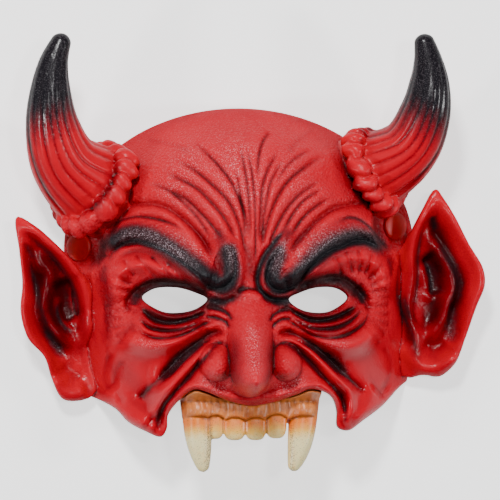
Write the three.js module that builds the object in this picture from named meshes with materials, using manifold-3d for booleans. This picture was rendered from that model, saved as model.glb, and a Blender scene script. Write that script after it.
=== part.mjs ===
// Demon half mask: a hollow latex face with horns and ears, upper teeth behind the lip, and two press studs.
// It lies face up on its rim. Millimetres: +Z up out of the face, +Y towards the crown, +X to the right.
import * as THREE from 'three';
import { mergeVertices } from 'three/addons/utils/BufferGeometryUtils.js';
import Module from 'manifold-3d';

const wasm = await Module();
wasm.setup();

// The face blank, before anything is modelled on it.
const face = {
  halfWidth: 86, // rim to mid-plane at the temples
  top: 69.5, // crown rim above the brow line
  bottom: 98, // lowest row of the blank below the brow line
  jawTaper: { left: 12, right: 3 }, // how much each side narrows 70 mm below the brow line
  height: 62, // brow above the floor
  chinDrop: 5, // how much lower the blank is 75 mm below the brow line
  flareHalfWidth: 96, // where the flared temple tabs would meet the floor
  flareCentre: 6,
  flareSpread: 22,
  wall: 3,
};

// Both sides of the wall are cut into triangles as fine as these tolerances ask, down to one grid cell.
const facets = {
  outside: { cells: 64, tolerance: 0.84 },
  inside: { cells: 64, tolerance: 1.7 },
};

// Nose, from the root between the eyes to the tip.
const nose = {
  root: -17, tip: -64, rise: 34, rootHalf: 8, tipHalf: 12, underside: 9.5, wingX: 16.8, wingY: -53,
};

// Hollow round each eye, and the hole in it. The hole's outline is for the right eye.
const socket = { x: 35, y: -24, halfLength: 21, halfHeight: 9, depth: 8 };
const eyeHole = [
  [51, -22.5], [45, -18], [34, -17.6], [25, -20.5], [19.5, -23.5], [24, -27.8], [32, -30], [41, -29.3],
];

// Folds (height above 0) and creases (height below 0) that both sides share.
const sharedFolds = [
  {
    name: 'brow', height: 9, width: 7,
    line: [[69, -2], [60, 8], [47, 7], [33, -1.5], [19, -12.5], [11, -14.5]],
  },
  { name: 'brow hook', line: [[13, -16], [7, -12], [7, -4], [10, 5]], height: 4, width: 3.4 },
  { name: 'glabella crease', line: [[4, -22], [3, -12], [4.5, -2], [11, 10]], height: -3, width: 2.6 },
  {
    name: 'upper lid', height: 5, width: 4.4,
    line: [[61, -22], [61, -13], [54, -8], [45, -8.5], [34, -13.5], [24, -19]],
  },
  { name: 'lower lid', line: [[50, -30], [38, -34], [25, -31.5]], height: 3, width: 3 },
  {
    name: 'cheekbone', height: 6, width: 5.2,
    line: [[60, -36], [48, -44], [35, -42], [23, -37.5], [13, -37]],
  },
  {
    name: 'cheek crease', height: -7, width: 3.8,
    line: [[12, -40], [22, -41], [33.5, -48.5], [43, -58], [53, -69]],
  },
  {
    name: 'smile crease', height: -5, width: 3.4,
    line: [[13, -46], [21, -50], [28, -57.5], [35.5, -67], [40, -77]],
  },
  { name: 'muzzle', line: [[36, -66], [20, -62], [0, -62], [-12, -62]], height: 6, width: 8 },
  {
    name: 'lip roll', height: 3, width: 2.8,
    line: [[37, -69.5], [28, -65.5], [21, -67], [10, -71], [0, -73], [-8, -71.5]],
  },
  { name: 'jaw lobe', line: [[46, -83], [56, -77], [66, -68]], height: 4, width: 6 },
  {
    name: 'frown crease', height: -4, width: 2.8,
    line: [[66, 20], [52, 21.5], [42, 19.5], [33, 13.5], [26, 7], [19, -1]],
  },
  { name: 'frown roll', line: [[58, 15], [46, 15], [36, 9], [27, 1]], height: 3, width: 3 },
];

// Grooves that fan out over the forehead from between the brows: where each one starts and ends.
const foreheadFan = { starts: [[20, 52], [37, 40]], ends: [[3, 8], [10, 5]], depth: -3, width: 3.2 };

// The edge of the lip and of both jaw lobes, seen from the front, from the left ear round to the right ear.
const jawEdge = [
  [-77, -70], [-68, -73.5], [-61, -77.5], [-55.5, -83.4], [-48, -87.4], [-40.5, -90], [-38, -86],
  [-37.5, -79], [-32.5, -71.5], [-26, -66.4], [-21, -67.4], [-10, -71.8], [0.8, -74.4], [11, -72.9],
  [23, -69], [29, -66.5], [36.5, -68], [41, -71], [43.6, -77], [44.5, -85.5], [50, -87.3],
  [57.5, -82.7], [67.6, -76.5], [78, -68], [88, -62],
];

// Horns: the middle of each, from inside the head out to the tip, with the radius there.
const hornLeft = {
  path: [
    [-58, 22, 10], [-74, 31, 19], [-87, 43, 29], [-93, 60, 36], [-94, 76, 40], [-92.4, 90, 42],
    [-87.4, 103.6, 43],
  ],
  radii: [20, 21.4, 16.4, 12.8, 9.8, 7, 4],
};
const hornRight = {
  path: [
    [51, 34.5, 10], [66.5, 39.5, 18], [81, 50.5, 28], [87.6, 67, 36], [89, 81, 40], [88, 92, 42],
    [85.2, 104.2, 43],
  ],
  radii: [18.4, 18.6, 14.6, 12.2, 9.6, 6.8, 4],
};
const flute = { count: 12, depth: 0.1, from: 0.1, wall: 3.2, hollowTo: 0.78 };
const hornTip = { from: 0.95, rings: 9 };
const collar = { radius: 6.4, clear: 2.8, tuck: 5.8, lumps: 13, lumpDepth: 0.3, along: 0.17 };

// Ears: outline seen from the front, the middle of the hollow, and how far the ear stands off the floor.
const earLeft = {
  outline: [
    [-110, 16.5], [-101, 12], [-88.5, 1], [-78.8, -9.7], [-71.5, -21], [-67, -33], [-67, -46],
    [-69, -60], [-72, -71], [-79, -73.7], [-87, -72.7], [-92.3, -63], [-96, -52], [-104, -43],
    [-107.8, -30], [-107, -16], [-108.6, 0],
  ],
  hollow: [-84, -33],
  lift: 15,
};
const earRight = {
  outline: [
    [94.7, 30.3], [99, 25], [104, 16.5], [111, 2.9], [118, -9], [119, -17], [115, -28], [110, -43],
    [105, -56], [98, -62.4], [90, -61.6], [82, -63], [75, -54], [72.5, -38], [72, -22], [76, -5],
    [82, 8], [88, 20],
  ],
  hollow: [93, -19],
  lift: 15,
};
// Bands of the ear from its edge in to the hollow: share of the way out, and height of the front there.
const earBands = [
  { out: 1, front: 0 }, { out: 0.9, front: 3 }, { out: 0.76, front: 0.6 }, { out: 0.62, front: -2 },
  { out: 0.48, front: 0.8 }, { out: 0.3, front: -4.5 },
];
const ear = { thickness: 4, hollowDepth: 6.5, steps: 24, leanOut: 0.16, leanUp: 0.12 };

// Teeth: a gum that follows the lip, four front teeth and two fangs.
const gum = {
  half: 35, narrowing: 3, middle: 50, sweep: 6,
  top: -60, bottom: -81.5, thickness: 5, centre: 1.6, gap: 0.5,
};
const incisor = { pitch: 9.6, top: -77, bottom: -90.8, thickness: 6, count: 4 };
const fangs = [
  { root: [-23, -72, 45], bend: [-23.3, -92, 46.5], tip: [-19.4, -106.5, 48], radius: 6.6 },
  { root: [28.2, -72, 45], bend: [27.4, -92, 46.5], tip: [22.4, -106, 48], radius: 6.6 },
];

// Press studs: a domed cap in front, a shaft through the wall and a washer behind.
const stud = { cap: 6.85, capHeight: 2, shaft: 2, washer: 5.2, washerHeight: 1.4, gap: 0.35, seat: 9.5 };
const studLeft = { x: -78.6, y: 1.6, z: 11.5, slope: 33 };
const studRight = { x: 75.4, y: 11.8, z: 11.5, slope: 33 };

const latex = new THREE.MeshStandardMaterial({ color: 0xc81414, roughness: 0.42, metalness: 0 });
const toothResin = new THREE.MeshStandardMaterial({ color: 0xe6c890, roughness: 0.4, metalness: 0 });
const studPlastic = new THREE.MeshStandardMaterial({ color: 0xb01010, roughness: 0.35, metalness: 0 });

const clamp = THREE.MathUtils.clamp;
const lerp = THREE.MathUtils.lerp;
const smoothstep = THREE.MathUtils.smoothstep;

// Closed solid from corner positions and triangles that may name one place twice.
function solidFrom(positions, triangles) {
  const geometry = new THREE.BufferGeometry();
  geometry.setAttribute('position', new THREE.Float32BufferAttribute(positions, 3));
  geometry.setIndex(triangles);
  return solidOf(geometry);
}

function solidOf(geometry) {
  const bare = new THREE.BufferGeometry();
  bare.setAttribute('position', geometry.getAttribute('position'));
  bare.setIndex(geometry.getIndex());
  const merged = mergeVertices(bare, 1e-4);
  const index = merged.getIndex().array;
  const kept = [];
  for (let i = 0; i < index.length; i += 3) {
    const [a, b, c] = [index[i], index[i + 1], index[i + 2]];
    if (a !== b && b !== c && c !== a) kept.push(a, b, c);
  }
  const vertProperties = new Float32Array(merged.getAttribute('position').array);
  return new wasm.Manifold(new wasm.Mesh({ numProp: 3, vertProperties, triVerts: new Uint32Array(kept) }));
}

// A straight cutter through the whole height, with an outline seen from the front.
function prism(shape, low, high) {
  const geometry = new THREE.ExtrudeGeometry(shape, { depth: high - low, bevelEnabled: false });
  geometry.translate(0, 0, low);
  return solidOf(geometry);
}

function flatCurve(points, closed) {
  const places = points.map(([x, y]) => new THREE.Vector3(x, y, 0));
  return new THREE.CatmullRomCurve3(places, closed, 'centripetal');
}

// Height of a rounded ridge or crease that follows a smooth line and fades out at its ends.
function fold({ line, height, width }) {
  const path = flatCurve(line, false).getPoints(18);
  return (x, y) => {
    let nearest = Infinity;
    let where = 0;
    for (let i = 0; i + 1 < path.length; i += 1) {
      const dx = path[i + 1].x - path[i].x;
      const dy = path[i + 1].y - path[i].y;
      const along = clamp(((x - path[i].x) * dx + (y - path[i].y) * dy) / (dx * dx + dy * dy), 0, 1);
      const distance = Math.hypot(x - path[i].x - dx * along, y - path[i].y - dy * along);
      if (distance < nearest) {
        nearest = distance;
        where = (i + along) / (path.length - 1);
      }
    }
    const ends = smoothstep(Math.min(where, 1 - where), -0.04, 0.14);
    return height * ends * Math.exp(-((nearest / width) ** 2));
  };
}

function fanFolds({ starts, ends, depth, width }) {
  return starts.map(([sx, sy], i) => {
    const [ex, ey] = ends[i];
    const bend = [lerp(ex, sx, 0.4), lerp(ey, sy, 0.72)];
    return fold({ line: [[sx, sy], bend, [ex, ey]], height: depth, width });
  });
}

const folds = [...sharedFolds.map(fold), ...fanFolds(foreheadFan)];

function halfWidthAt(x, y) {
  const taper = x < 0 ? face.jawTaper.left : face.jawTaper.right;
  return face.halfWidth - taper * (Math.max(0, -y) / 70) ** 1.5;
}

function blankHeight(x, y) {
  const up = clamp(y / face.top, 0, 1);
  const down = Math.max(0, -y);
  const flare = Math.exp(-(((y - face.flareCentre) / face.flareSpread) ** 2));
  const crown = face.height * (1 - up ** 2.6) ** 0.55 - face.chinDrop * (down / 75) ** 4;
  const half = halfWidthAt(x, y) * Math.sqrt(1 - up * up) + (face.flareHalfWidth - face.halfWidth) * flare;
  const out = clamp(Math.abs(x) / Math.max(half, 1e-3), 0, 1);
  return crown * (1 - out ** (2.4 - 0.6 * flare)) ** (1 + 0.4 * flare);
}

function noseHeight(x, y) {
  const along = clamp((nose.root - y) / (nose.root - nose.tip), 0, 1);
  const under = clamp((nose.tip - y) / nose.underside, 0, 1);
  const rise = (nose.rise * (along + smoothstep(along, 0, 1)) * Math.sqrt(1 - under * under)) / 2;
  const half = lerp(nose.rootHalf, nose.tipHalf, along);
  const wing = Math.hypot(Math.abs(x) - nose.wingX, (y - nose.wingY) / 1.15) / 6.6;
  return rise * Math.exp(-((Math.abs(x) / half) ** 4)) + 14 * Math.exp(-(wing ** 4));
}

function socketHeight(x, y) {
  const out = Math.hypot((Math.abs(x) - socket.x) / socket.halfLength, (y - socket.y) / socket.halfHeight);
  return -socket.depth * Math.exp(-(out ** 3));
}

// The flat seat that a press stud is pressed into.
function seatHeight(x, y, height, at) {
  const side = Math.sign(at.x);
  const plane = at.z - side * (x - at.x) * Math.tan(THREE.MathUtils.degToRad(at.slope));
  const near = 1 - smoothstep(Math.hypot(x - at.x, y - at.y), stud.seat, stud.seat + 5);
  return lerp(height, plane, near);
}

function outerHeight(x, y) {
  const blank = blankHeight(x, y);
  let relief = noseHeight(x, y) + socketHeight(x, y);
  for (const each of folds) relief += each(Math.abs(x), y);
  let height = blank + relief * smoothstep(blank, 2, 20);
  for (const at of [studLeft, studRight]) height = seatHeight(x, y, height, at);
  return height;
}

// Underside of the wall: what is left when a ball of the wall's radius rolls along inside the surface.
function innerHeight(x, y) {
  let height = outerHeight(x, y) - face.wall;
  for (const share of [0.5, 1, 1.5]) {
    for (let i = 0; i < 12; i += 1) {
      const angle = (i * Math.PI) / 6;
      const reach = share * face.wall;
      const there = outerHeight(x + reach * Math.cos(angle), y + reach * Math.sin(angle));
      const below = share < 1 ? Math.sqrt(1 - share * share) : -0.7 * (share - 1);
      height = Math.min(height, there - face.wall * below);
    }
  }
  return height;
}

// Place on the face, with u and v from -1 to 1 over the whole of it.
function facePlace(u, v, margin) {
  if (v < 0) {
    const y = v * (face.bottom + margin);
    return [u * (halfWidthAt(u, y) + margin), y];
  }
  const x = u * (face.halfWidth + margin) * Math.sqrt(1 - (v * v) / 2);
  return [x, (face.top + margin) * v * Math.sqrt(1 - (u * u) / 2)];
}

// A block with a flat underside and a modelled top over the face's outline. Right-angled triangles are
// halved wherever the top bends more than the tolerance.
function faceBlock(heightAt, floor, margin, { cells, tolerance }) {
  const corner = (i, j) => j * (cells + 1) + i;
  const places = [];
  for (let j = 0; j <= cells; j += 1) {
    for (let i = 0; i <= cells; i += 1) {
      const [x, y] = facePlace((2 * i) / cells - 1, (2 * j) / cells - 1, margin);
      places.push([x, y, heightAt(x, y)]);
    }
  }
  const halve = (a, b, c, level, act) => {
    const m = [(a[0] + b[0]) / 2, (a[1] + b[1]) / 2];
    if (act(a, b, c, m, level)) {
      halve(c, a, m, level - 1, act);
      halve(b, c, m, level - 1, act);
    }
  };
  const [low, right, high, left] = [[0, 0], [cells, 0], [cells, cells], [0, cells]];
  const halveAll = (levels, act) => {
    halve(low, high, right, levels, act);
    halve(high, low, left, levels, act);
  };
  const levels = 2 * Math.log2(cells);
  const bend = new Float32Array(places.length);
  for (let stop = 1; stop <= levels; stop += 1) {
    halveAll(levels, (a, b, c, m, level) => {
      if (level > stop) return true;
      const at = corner(...m);
      const [pa, pb, pm] = [places[corner(...a)], places[corner(...b)], places[at]];
      const slope = Math.abs(pa[2] - pb[2]) / Math.hypot(pa[0] - pb[0], pa[1] - pb[1], 1);
      bend[at] = Math.max(bend[at], Math.abs(pm[2] - (pa[2] + pb[2]) / 2) / Math.hypot(1, slope));
      if (level > 1) {
        bend[at] = Math.max(bend[at], bend[corner((a[0] + c[0]) / 2, (a[1] + c[1]) / 2)]);
        bend[at] = Math.max(bend[at], bend[corner((b[0] + c[0]) / 2, (b[1] + c[1]) / 2)]);
      }
      return false;
    });
  }
  const triangles = [];
  halveAll(levels, (a, b, c, m, level) => {
    if (level > 0 && bend[corner(...m)] > tolerance) return true;
    triangles.push(corner(...a), corner(...c), corner(...b));
    return false;
  });
  return closeBelow(places, triangles, floor);
}

// Walls from the open border of a surface down to a flat floor.
function closeBelow(places, triangles, floor) {
  const following = new Map();
  const edges = new Set();
  for (let i = 0; i < triangles.length; i += 3) {
    for (let k = 0; k < 3; k += 1) edges.add(`${triangles[i + k]} ${triangles[i + ((k + 1) % 3)]}`);
  }
  for (const edge of edges) {
    const [from, to] = edge.split(' ').map(Number);
    if (!edges.has(`${to} ${from}`)) following.set(from, to);
  }
  const positions = places.flat();
  const closed = [...triangles];
  const below = new Map();
  for (const at of following.keys()) {
    below.set(at, positions.length / 3);
    positions.push(places[at][0], places[at][1], floor);
  }
  const middle = positions.length / 3;
  positions.push(0, 0, floor);
  for (const [from, to] of following) {
    const [a, b] = [below.get(from), below.get(to)];
    closed.push(from, a, b, from, b, to, b, a, middle);
  }
  return solidFrom(positions, closed);
}

// Tube along a curve with rings given by a function of the way along and the angle, closed at both ends.
function loft(curve, rings, sides, radiusAt, ringAt = (share) => share) {
  const positions = [];
  const triangles = [];
  const upward = new THREE.Vector3(0, 0, 1);
  for (let j = 0; j <= rings; j += 1) {
    const along = ringAt(j / rings);
    const middle = curve.getPoint(along);
    const ahead = curve.getTangent(along);
    const sideways = new THREE.Vector3().crossVectors(ahead, upward).normalize();
    const raised = new THREE.Vector3().crossVectors(sideways, ahead);
    for (let i = 0; i < sides; i += 1) {
      const angle = (i / sides) * 2 * Math.PI;
      const radius = radiusAt(along, angle);
      const place = middle.clone().addScaledVector(sideways, radius * Math.cos(angle));
      place.addScaledVector(raised, radius * Math.sin(angle));
      positions.push(...place.toArray());
    }
  }
  const start = positions.length / 3;
  positions.push(...curve.getPoint(0).toArray(), ...curve.getPoint(1).toArray());
  for (let i = 0; i < sides; i += 1) {
    const next = (i + 1) % sides;
    for (let j = 0; j < rings; j += 1) {
      const [a, b] = [j * sides + i, j * sides + next];
      triangles.push(a, a + sides, b, b, a + sides, b + sides);
    }
    triangles.push(start, i, next, start + 1, rings * sides + next, rings * sides + i);
  }
  return solidFrom(positions, triangles);
}

function hornCurve({ path }) {
  const places = path.map((point) => new THREE.Vector3(...point));
  return new THREE.CatmullRomCurve3(places, false, 'centripetal');
}

function radiusAlong(radii, along) {
  const place = along * (radii.length - 1);
  const i = Math.min(Math.floor(place), radii.length - 2);
  return lerp(radii[i], radii[i + 1], place - i);
}

function hornSolid(shape) {
  return loft(hornCurve(shape), hornTip.rings, flute.count * 2, (along, angle) => {
    const groove = Math.abs(Math.cos((flute.count * angle) / 2)) ** 4;
    const shown = smoothstep(along, flute.from, 0.3) * (1 - smoothstep(along, 0.7, 1));
    const rounding = Math.sqrt(1 - (Math.max(0, along - hornTip.from) / (1 - hornTip.from)) ** 2) + 0.05;
    return radiusAlong(shape.radii, along) * Math.min(1, rounding) * (1 - flute.depth * groove * shown);
  }, (share) => Math.sin((share * Math.PI) / 2));
}

function hornHollow(shape) {
  const curve = hornCurve(shape);
  const points = [curve.getPoint(0).addScaledVector(curve.getTangent(0), -14)];
  for (let i = 0; i <= 5; i += 1) points.push(curve.getPoint((i / 5) * flute.hollowTo));
  const inside = new THREE.CatmullRomCurve3(points, false, 'centripetal');
  return loft(inside, 7, 8, (along) => {
    const outside = radiusAlong(shape.radii, Math.max(0, along * 1.17 - 0.17) * flute.hollowTo);
    return Math.max(1.5, outside * (1 - flute.depth) - flute.wall);
  });
}

// Wrinkled roll round a horn's root.
function collarSolid(shape) {
  const curve = hornCurve(shape);
  const middle = curve.getPoint(collar.along);
  const ahead = curve.getTangent(collar.along);
  const ring = radiusAlong(shape.radii, collar.along) + collar.clear;
  const sideways = new THREE.Vector3().crossVectors(ahead, new THREE.Vector3(0, 0, 1)).normalize();
  const raised = new THREE.Vector3().crossVectors(sideways, ahead);
  const [sides, rings] = [6, collar.lumps * 2];
  const positions = [];
  const triangles = [];
  for (let j = 0; j < rings; j += 1) {
    const turn = (j / rings) * 2 * Math.PI;
    const outward = sideways.clone().multiplyScalar(Math.cos(turn)).addScaledVector(raised, Math.sin(turn));
    const lump = collar.radius * (1 - collar.lumpDepth * Math.cos((collar.lumps * turn) / 2) ** 2);
    const reach = ring - collar.tuck * (1 - smoothstep(Math.sin(turn), -0.2, 0.8));
    for (let i = 0; i < sides; i += 1) {
      const angle = (i / sides) * 2 * Math.PI;
      const place = middle.clone().addScaledVector(outward, reach + lump * Math.cos(angle));
      place.addScaledVector(ahead, lump * Math.sin(angle));
      positions.push(...place.toArray());
      const [a, b] = [j * sides + i, j * sides + ((i + 1) % sides)];
      const [c, d] = [((j + 1) % rings) * sides + i, ((j + 1) % rings) * sides + ((i + 1) % sides)];
      triangles.push(a, b, c, b, d, c);
    }
  }
  return solidFrom(positions, triangles);
}

// Cupped ear: bands from the edge in to the hollow in front, and a plainer back.
function earSolid({ outline, hollow, lift }) {
  const edge = flatCurve(outline, true).getSpacedPoints(ear.steps).slice(0, ear.steps);
  const clockwise = THREE.ShapeUtils.isClockWise(edge);
  if (clockwise) edge.reverse();
  const [cx, cy] = hollow;
  const standing = (x, y) => lift + ear.leanOut * (Math.abs(x) - Math.abs(cx)) + ear.leanUp * (y - cy);
  const positions = [];
  const triangles = [];
  const band = (out, height) => {
    const first = positions.length / 3;
    for (const at of edge) {
      const [x, y] = [lerp(cx, at.x, out), lerp(cy, at.y, out)];
      positions.push(x, y, standing(x, y) + height);
    }
    return first;
  };
  const join = (outer, inner, flipped) => {
    for (let i = 0; i < ear.steps; i += 1) {
      const next = (i + 1) % ear.steps;
      const [a, b, c, d] = [outer + i, outer + next, inner + next, inner + i];
      if (flipped) triangles.push(a, c, b, a, d, c);
      else triangles.push(a, b, c, a, c, d);
    }
  };
  const fan = (outer, height, flipped) => {
    const tip = positions.length / 3;
    positions.push(cx, cy, lift + height);
    for (let i = 0; i < ear.steps; i += 1) {
      const next = (i + 1) % ear.steps;
      if (flipped) triangles.push(outer + next, outer + i, tip);
      else triangles.push(outer + i, outer + next, tip);
    }
  };
  const rim = band(1, 0);
  let last = rim;
  for (const { out, front } of earBands.slice(1)) {
    const next = band(out, front);
    join(last, next, false);
    last = next;
  }
  fan(last, -ear.hollowDepth, false);
  const back = band(0.94, -ear.thickness + 1);
  join(rim, back, true);
  const dish = band(0.45, -ear.thickness - 1.4);
  join(back, dish, true);
  fan(dish, -ear.hollowDepth - ear.thickness + 1, true);
  return solidFrom(positions, triangles);
}

function shapeOf(points, closed, steps) {
  const edge = flatCurve(points, closed).getPoints(steps);
  return new THREE.Shape(edge.map(({ x, y }) => new THREE.Vector2(x, y)));
}

function eyeCutter(side) {
  const outline = eyeHole.map(([x, y]) => [side * x, y]);
  return prism(shapeOf(outline, true, 16), -20, 140);
}

function jawCutter() {
  const edge = flatCurve(jawEdge, false).getPoints(50);
  const corners = edge.map(({ x, y }) => new THREE.Vector2(x, y));
  corners.push(new THREE.Vector2(100, -62), new THREE.Vector2(100, -130), new THREE.Vector2(-77, -130));
  return prism(new THREE.Shape(corners), -20, 140);
}

function floorCutter() {
  const slab = new THREE.BoxGeometry(400, 400, 60);
  slab.translate(0, 0, -30);
  return solidOf(slab);
}

// Room for a stud: a hole for its shaft, and a flat seat on each side of the wall.
function studHole(at) {
  const reach = 6;
  const profile = [
    [0, -face.wall - reach], [stud.washer + stud.gap, -face.wall - reach],
    [stud.washer + stud.gap, -face.wall], [stud.shaft + stud.gap, -face.wall],
    [stud.shaft + stud.gap, 0], [stud.cap + stud.gap, 0], [stud.cap + stud.gap, reach], [0, reach],
  ];
  return solidOf(turned(profile).applyMatrix4(studPlace(at)));
}

// Lathe work about the Z axis.
function turned(profile) {
  const lathe = new THREE.LatheGeometry(profile.map(([x, y]) => new THREE.Vector2(x, y)), 12);
  return lathe.rotateX(Math.PI / 2);
}

function studPlace(at) {
  const tilt = new THREE.Matrix4().makeRotationY(THREE.MathUtils.degToRad(Math.sign(at.x) * at.slope));
  return tilt.setPosition(at.x, at.y, at.z);
}

function cavityBlock(drop) {
  return faceBlock((x, y) => Math.max(innerHeight(x, y), -3) - drop, -14, 3, facets.inside);
}

function maskShell() {
  let solid = faceBlock((x, y) => Math.max(outerHeight(x, y), 0.6), 0, 0, facets.outside);
  solid = solid.subtract(jawCutter());
  for (const shape of [hornLeft, hornRight]) solid = solid.add(hornSolid(shape)).add(collarSolid(shape));
  for (const shape of [earLeft, earRight]) solid = solid.add(earSolid(shape));
  solid = solid.subtract(cavityBlock(0));
  for (const shape of [hornLeft, hornRight]) solid = solid.subtract(hornHollow(shape));
  for (const side of [-1, 1]) solid = solid.subtract(eyeCutter(side));
  for (const at of [studLeft, studRight]) solid = solid.subtract(studHole(at));
  return solid.subtract(floorCutter());
}

// The gum rises behind the lip until it meets the inside of the face.
function gumSolid() {
  const [columns, rows] = [12, 4];
  const front = [];
  const back = [];
  for (let j = 0; j <= rows; j += 1) {
    for (let i = 0; i <= columns; i += 1) {
      const across = (2 * i) / columns - 1;
      const y = lerp(gum.bottom, gum.top, j / rows);
      const x = gum.centre + across * (gum.half - gum.narrowing * (1 - j / rows));
      const arch = gum.middle - gum.sweep * across * across;
      const swelling = 3 * Math.exp(-((Math.hypot(Math.abs(x - gum.centre) - 26, y + 73) / 5.5) ** 2));
      front.push(x, y, arch + swelling + 14 * smoothstep(y, -73, -66));
      back.push(x, y, arch - gum.thickness);
    }
  }
  return solidFrom([...front, ...back], sheetTriangles(columns, rows));
}

// Triangles of a sheet with thickness: front corners first, then the back ones.
function sheetTriangles(columns, rows) {
  const triangles = [];
  const wide = columns + 1;
  const size = wide * (rows + 1);
  for (let j = 0; j < rows; j += 1) {
    for (let i = 0; i < columns; i += 1) {
      const [a, b, c, d] = [j * wide + i, j * wide + i + 1, (j + 1) * wide + i + 1, (j + 1) * wide + i];
      triangles.push(a, b, c, a, c, d, a + size, c + size, b + size, a + size, d + size, c + size);
    }
  }
  const wall = (a, b) => triangles.push(a, a + size, b + size, a, b + size, b);
  for (let i = 0; i < columns; i += 1) {
    wall(i, i + 1);
    wall(size - 1 - i, size - 2 - i);
  }
  for (let j = 0; j < rows; j += 1) {
    wall(j * wide + columns, (j + 1) * wide + columns);
    wall((j + 1) * wide, j * wide);
  }
  return triangles;
}

// Rounded block, squarer than a ball.
function incisorSolid(number) {
  const across = number - (incisor.count - 1) / 2;
  const geometry = new THREE.SphereGeometry(1, 8, 5);
  const position = geometry.getAttribute('position');
  const square = (value) => Math.sign(value) * Math.abs(value) ** 0.6;
  const height = (incisor.top - incisor.bottom) / 2;
  for (let i = 0; i < position.count; i += 1) {
    position.setX(i, (square(position.getX(i)) * (incisor.pitch - 0.2)) / 2);
    position.setY(i, square(position.getY(i)) * height);
    position.setZ(i, (square(position.getZ(i)) * incisor.thickness) / 2);
  }
  const arch = gum.middle - gum.sweep * ((across * incisor.pitch) / gum.half) ** 2;
  geometry.translate(gum.centre + across * incisor.pitch, incisor.bottom + height, arch - 2);
  return solidOf(geometry);
}

function fangSolid({ root, bend, tip, radius }) {
  const places = [root, bend, tip].map((point) => new THREE.Vector3(...point));
  const curve = new THREE.QuadraticBezierCurve3(...places);
  const taper = (along) => radius * (1 - along ** 2.4) ** 0.75 + 0.5;
  return loft(curve, 6, 7, taper);
}

function teeth() {
  let solid = gumSolid().intersect(cavityBlock(gum.gap));
  for (let i = 0; i < incisor.count; i += 1) solid = solid.add(incisorSolid(i));
  for (const shape of fangs) solid = solid.add(fangSolid(shape));
  return solid;
}

function studGeometry() {
  const front = stud.gap;
  const behind = -face.wall - stud.gap;
  const profile = [
    [0, behind - stud.washerHeight], [stud.washer, behind - stud.washerHeight], [stud.washer, behind],
    [stud.shaft, behind], [stud.shaft, front], [stud.cap, front], [stud.cap, front + 0.7],
    [stud.cap * 0.8, front + stud.capHeight * 0.75], [stud.cap * 0.45, front + stud.capHeight * 0.95],
    [0, front + stud.capHeight],
  ];
  return turned(profile);
}

function meshFromSolid(name, solid, material) {
  const { numProp, vertProperties, triVerts } = solid.getMesh();
  const geometry = new THREE.BufferGeometry();
  const positions = new Float32Array((vertProperties.length / numProp) * 3);
  for (let i = 0; i < positions.length / 3; i += 1) {
    for (let k = 0; k < 3; k += 1) positions[i * 3 + k] = vertProperties[i * numProp + k];
  }
  geometry.setAttribute('position', new THREE.BufferAttribute(positions, 3));
  geometry.setIndex(Array.from(triVerts));
  geometry.computeVertexNormals();
  const mesh = new THREE.Mesh(geometry, material);
  mesh.name = name;
  return mesh;
}

function studMesh(name, at) {
  const solid = solidOf(studGeometry());
  const mesh = meshFromSolid(name, solid, studPlastic);
  mesh.applyMatrix4(studPlace(at));
  return mesh;
}

// Everything is modelled about the middle of the face, then set down centred on its own outline.
const mask = new THREE.Group();
mask.add(meshFromSolid('mask_shell', maskShell(), latex));
mask.add(meshFromSolid('teeth', teeth(), toothResin));
mask.add(studMesh('stud_left', studLeft));
mask.add(studMesh('stud_right', studRight));
mask.updateMatrixWorld(true);
const outlineBox = new THREE.Box3().setFromObject(mask, true);
const middle = outlineBox.getCenter(new THREE.Vector3());
mask.position.set(-middle.x, -middle.y, -outlineBox.min.z);

const part = new THREE.Group();
part.add(mask);
part.updateMatrixWorld(true);

export default part;
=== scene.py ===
import math
import bpy
import bmesh
import numpy as np
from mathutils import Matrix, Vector


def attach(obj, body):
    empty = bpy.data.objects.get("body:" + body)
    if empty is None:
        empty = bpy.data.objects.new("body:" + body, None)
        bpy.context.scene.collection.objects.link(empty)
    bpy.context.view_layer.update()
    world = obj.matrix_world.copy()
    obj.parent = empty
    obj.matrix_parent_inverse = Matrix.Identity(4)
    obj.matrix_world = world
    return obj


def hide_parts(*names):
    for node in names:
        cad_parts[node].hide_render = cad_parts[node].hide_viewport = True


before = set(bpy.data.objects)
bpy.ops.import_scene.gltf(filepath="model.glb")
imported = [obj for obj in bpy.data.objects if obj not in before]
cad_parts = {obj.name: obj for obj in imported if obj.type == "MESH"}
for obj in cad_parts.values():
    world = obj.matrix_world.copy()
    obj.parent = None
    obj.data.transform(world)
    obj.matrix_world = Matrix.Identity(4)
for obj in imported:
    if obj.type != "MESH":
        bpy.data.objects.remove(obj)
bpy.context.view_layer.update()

# The face is modelled in millimetres about its own middle: x to the right, y up, z out of the face.
# faceShift is where that middle lies in the frame.
faceShift = np.array([-4.343, 1.191, 0.0])


# 0 up to low, 1 from high on, and smooth between them.
def smoothStep(value, low, high):
    share = np.clip((value - low) / (high - low), 0, 1)
    return share * share * (3 - 2 * share)


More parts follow.
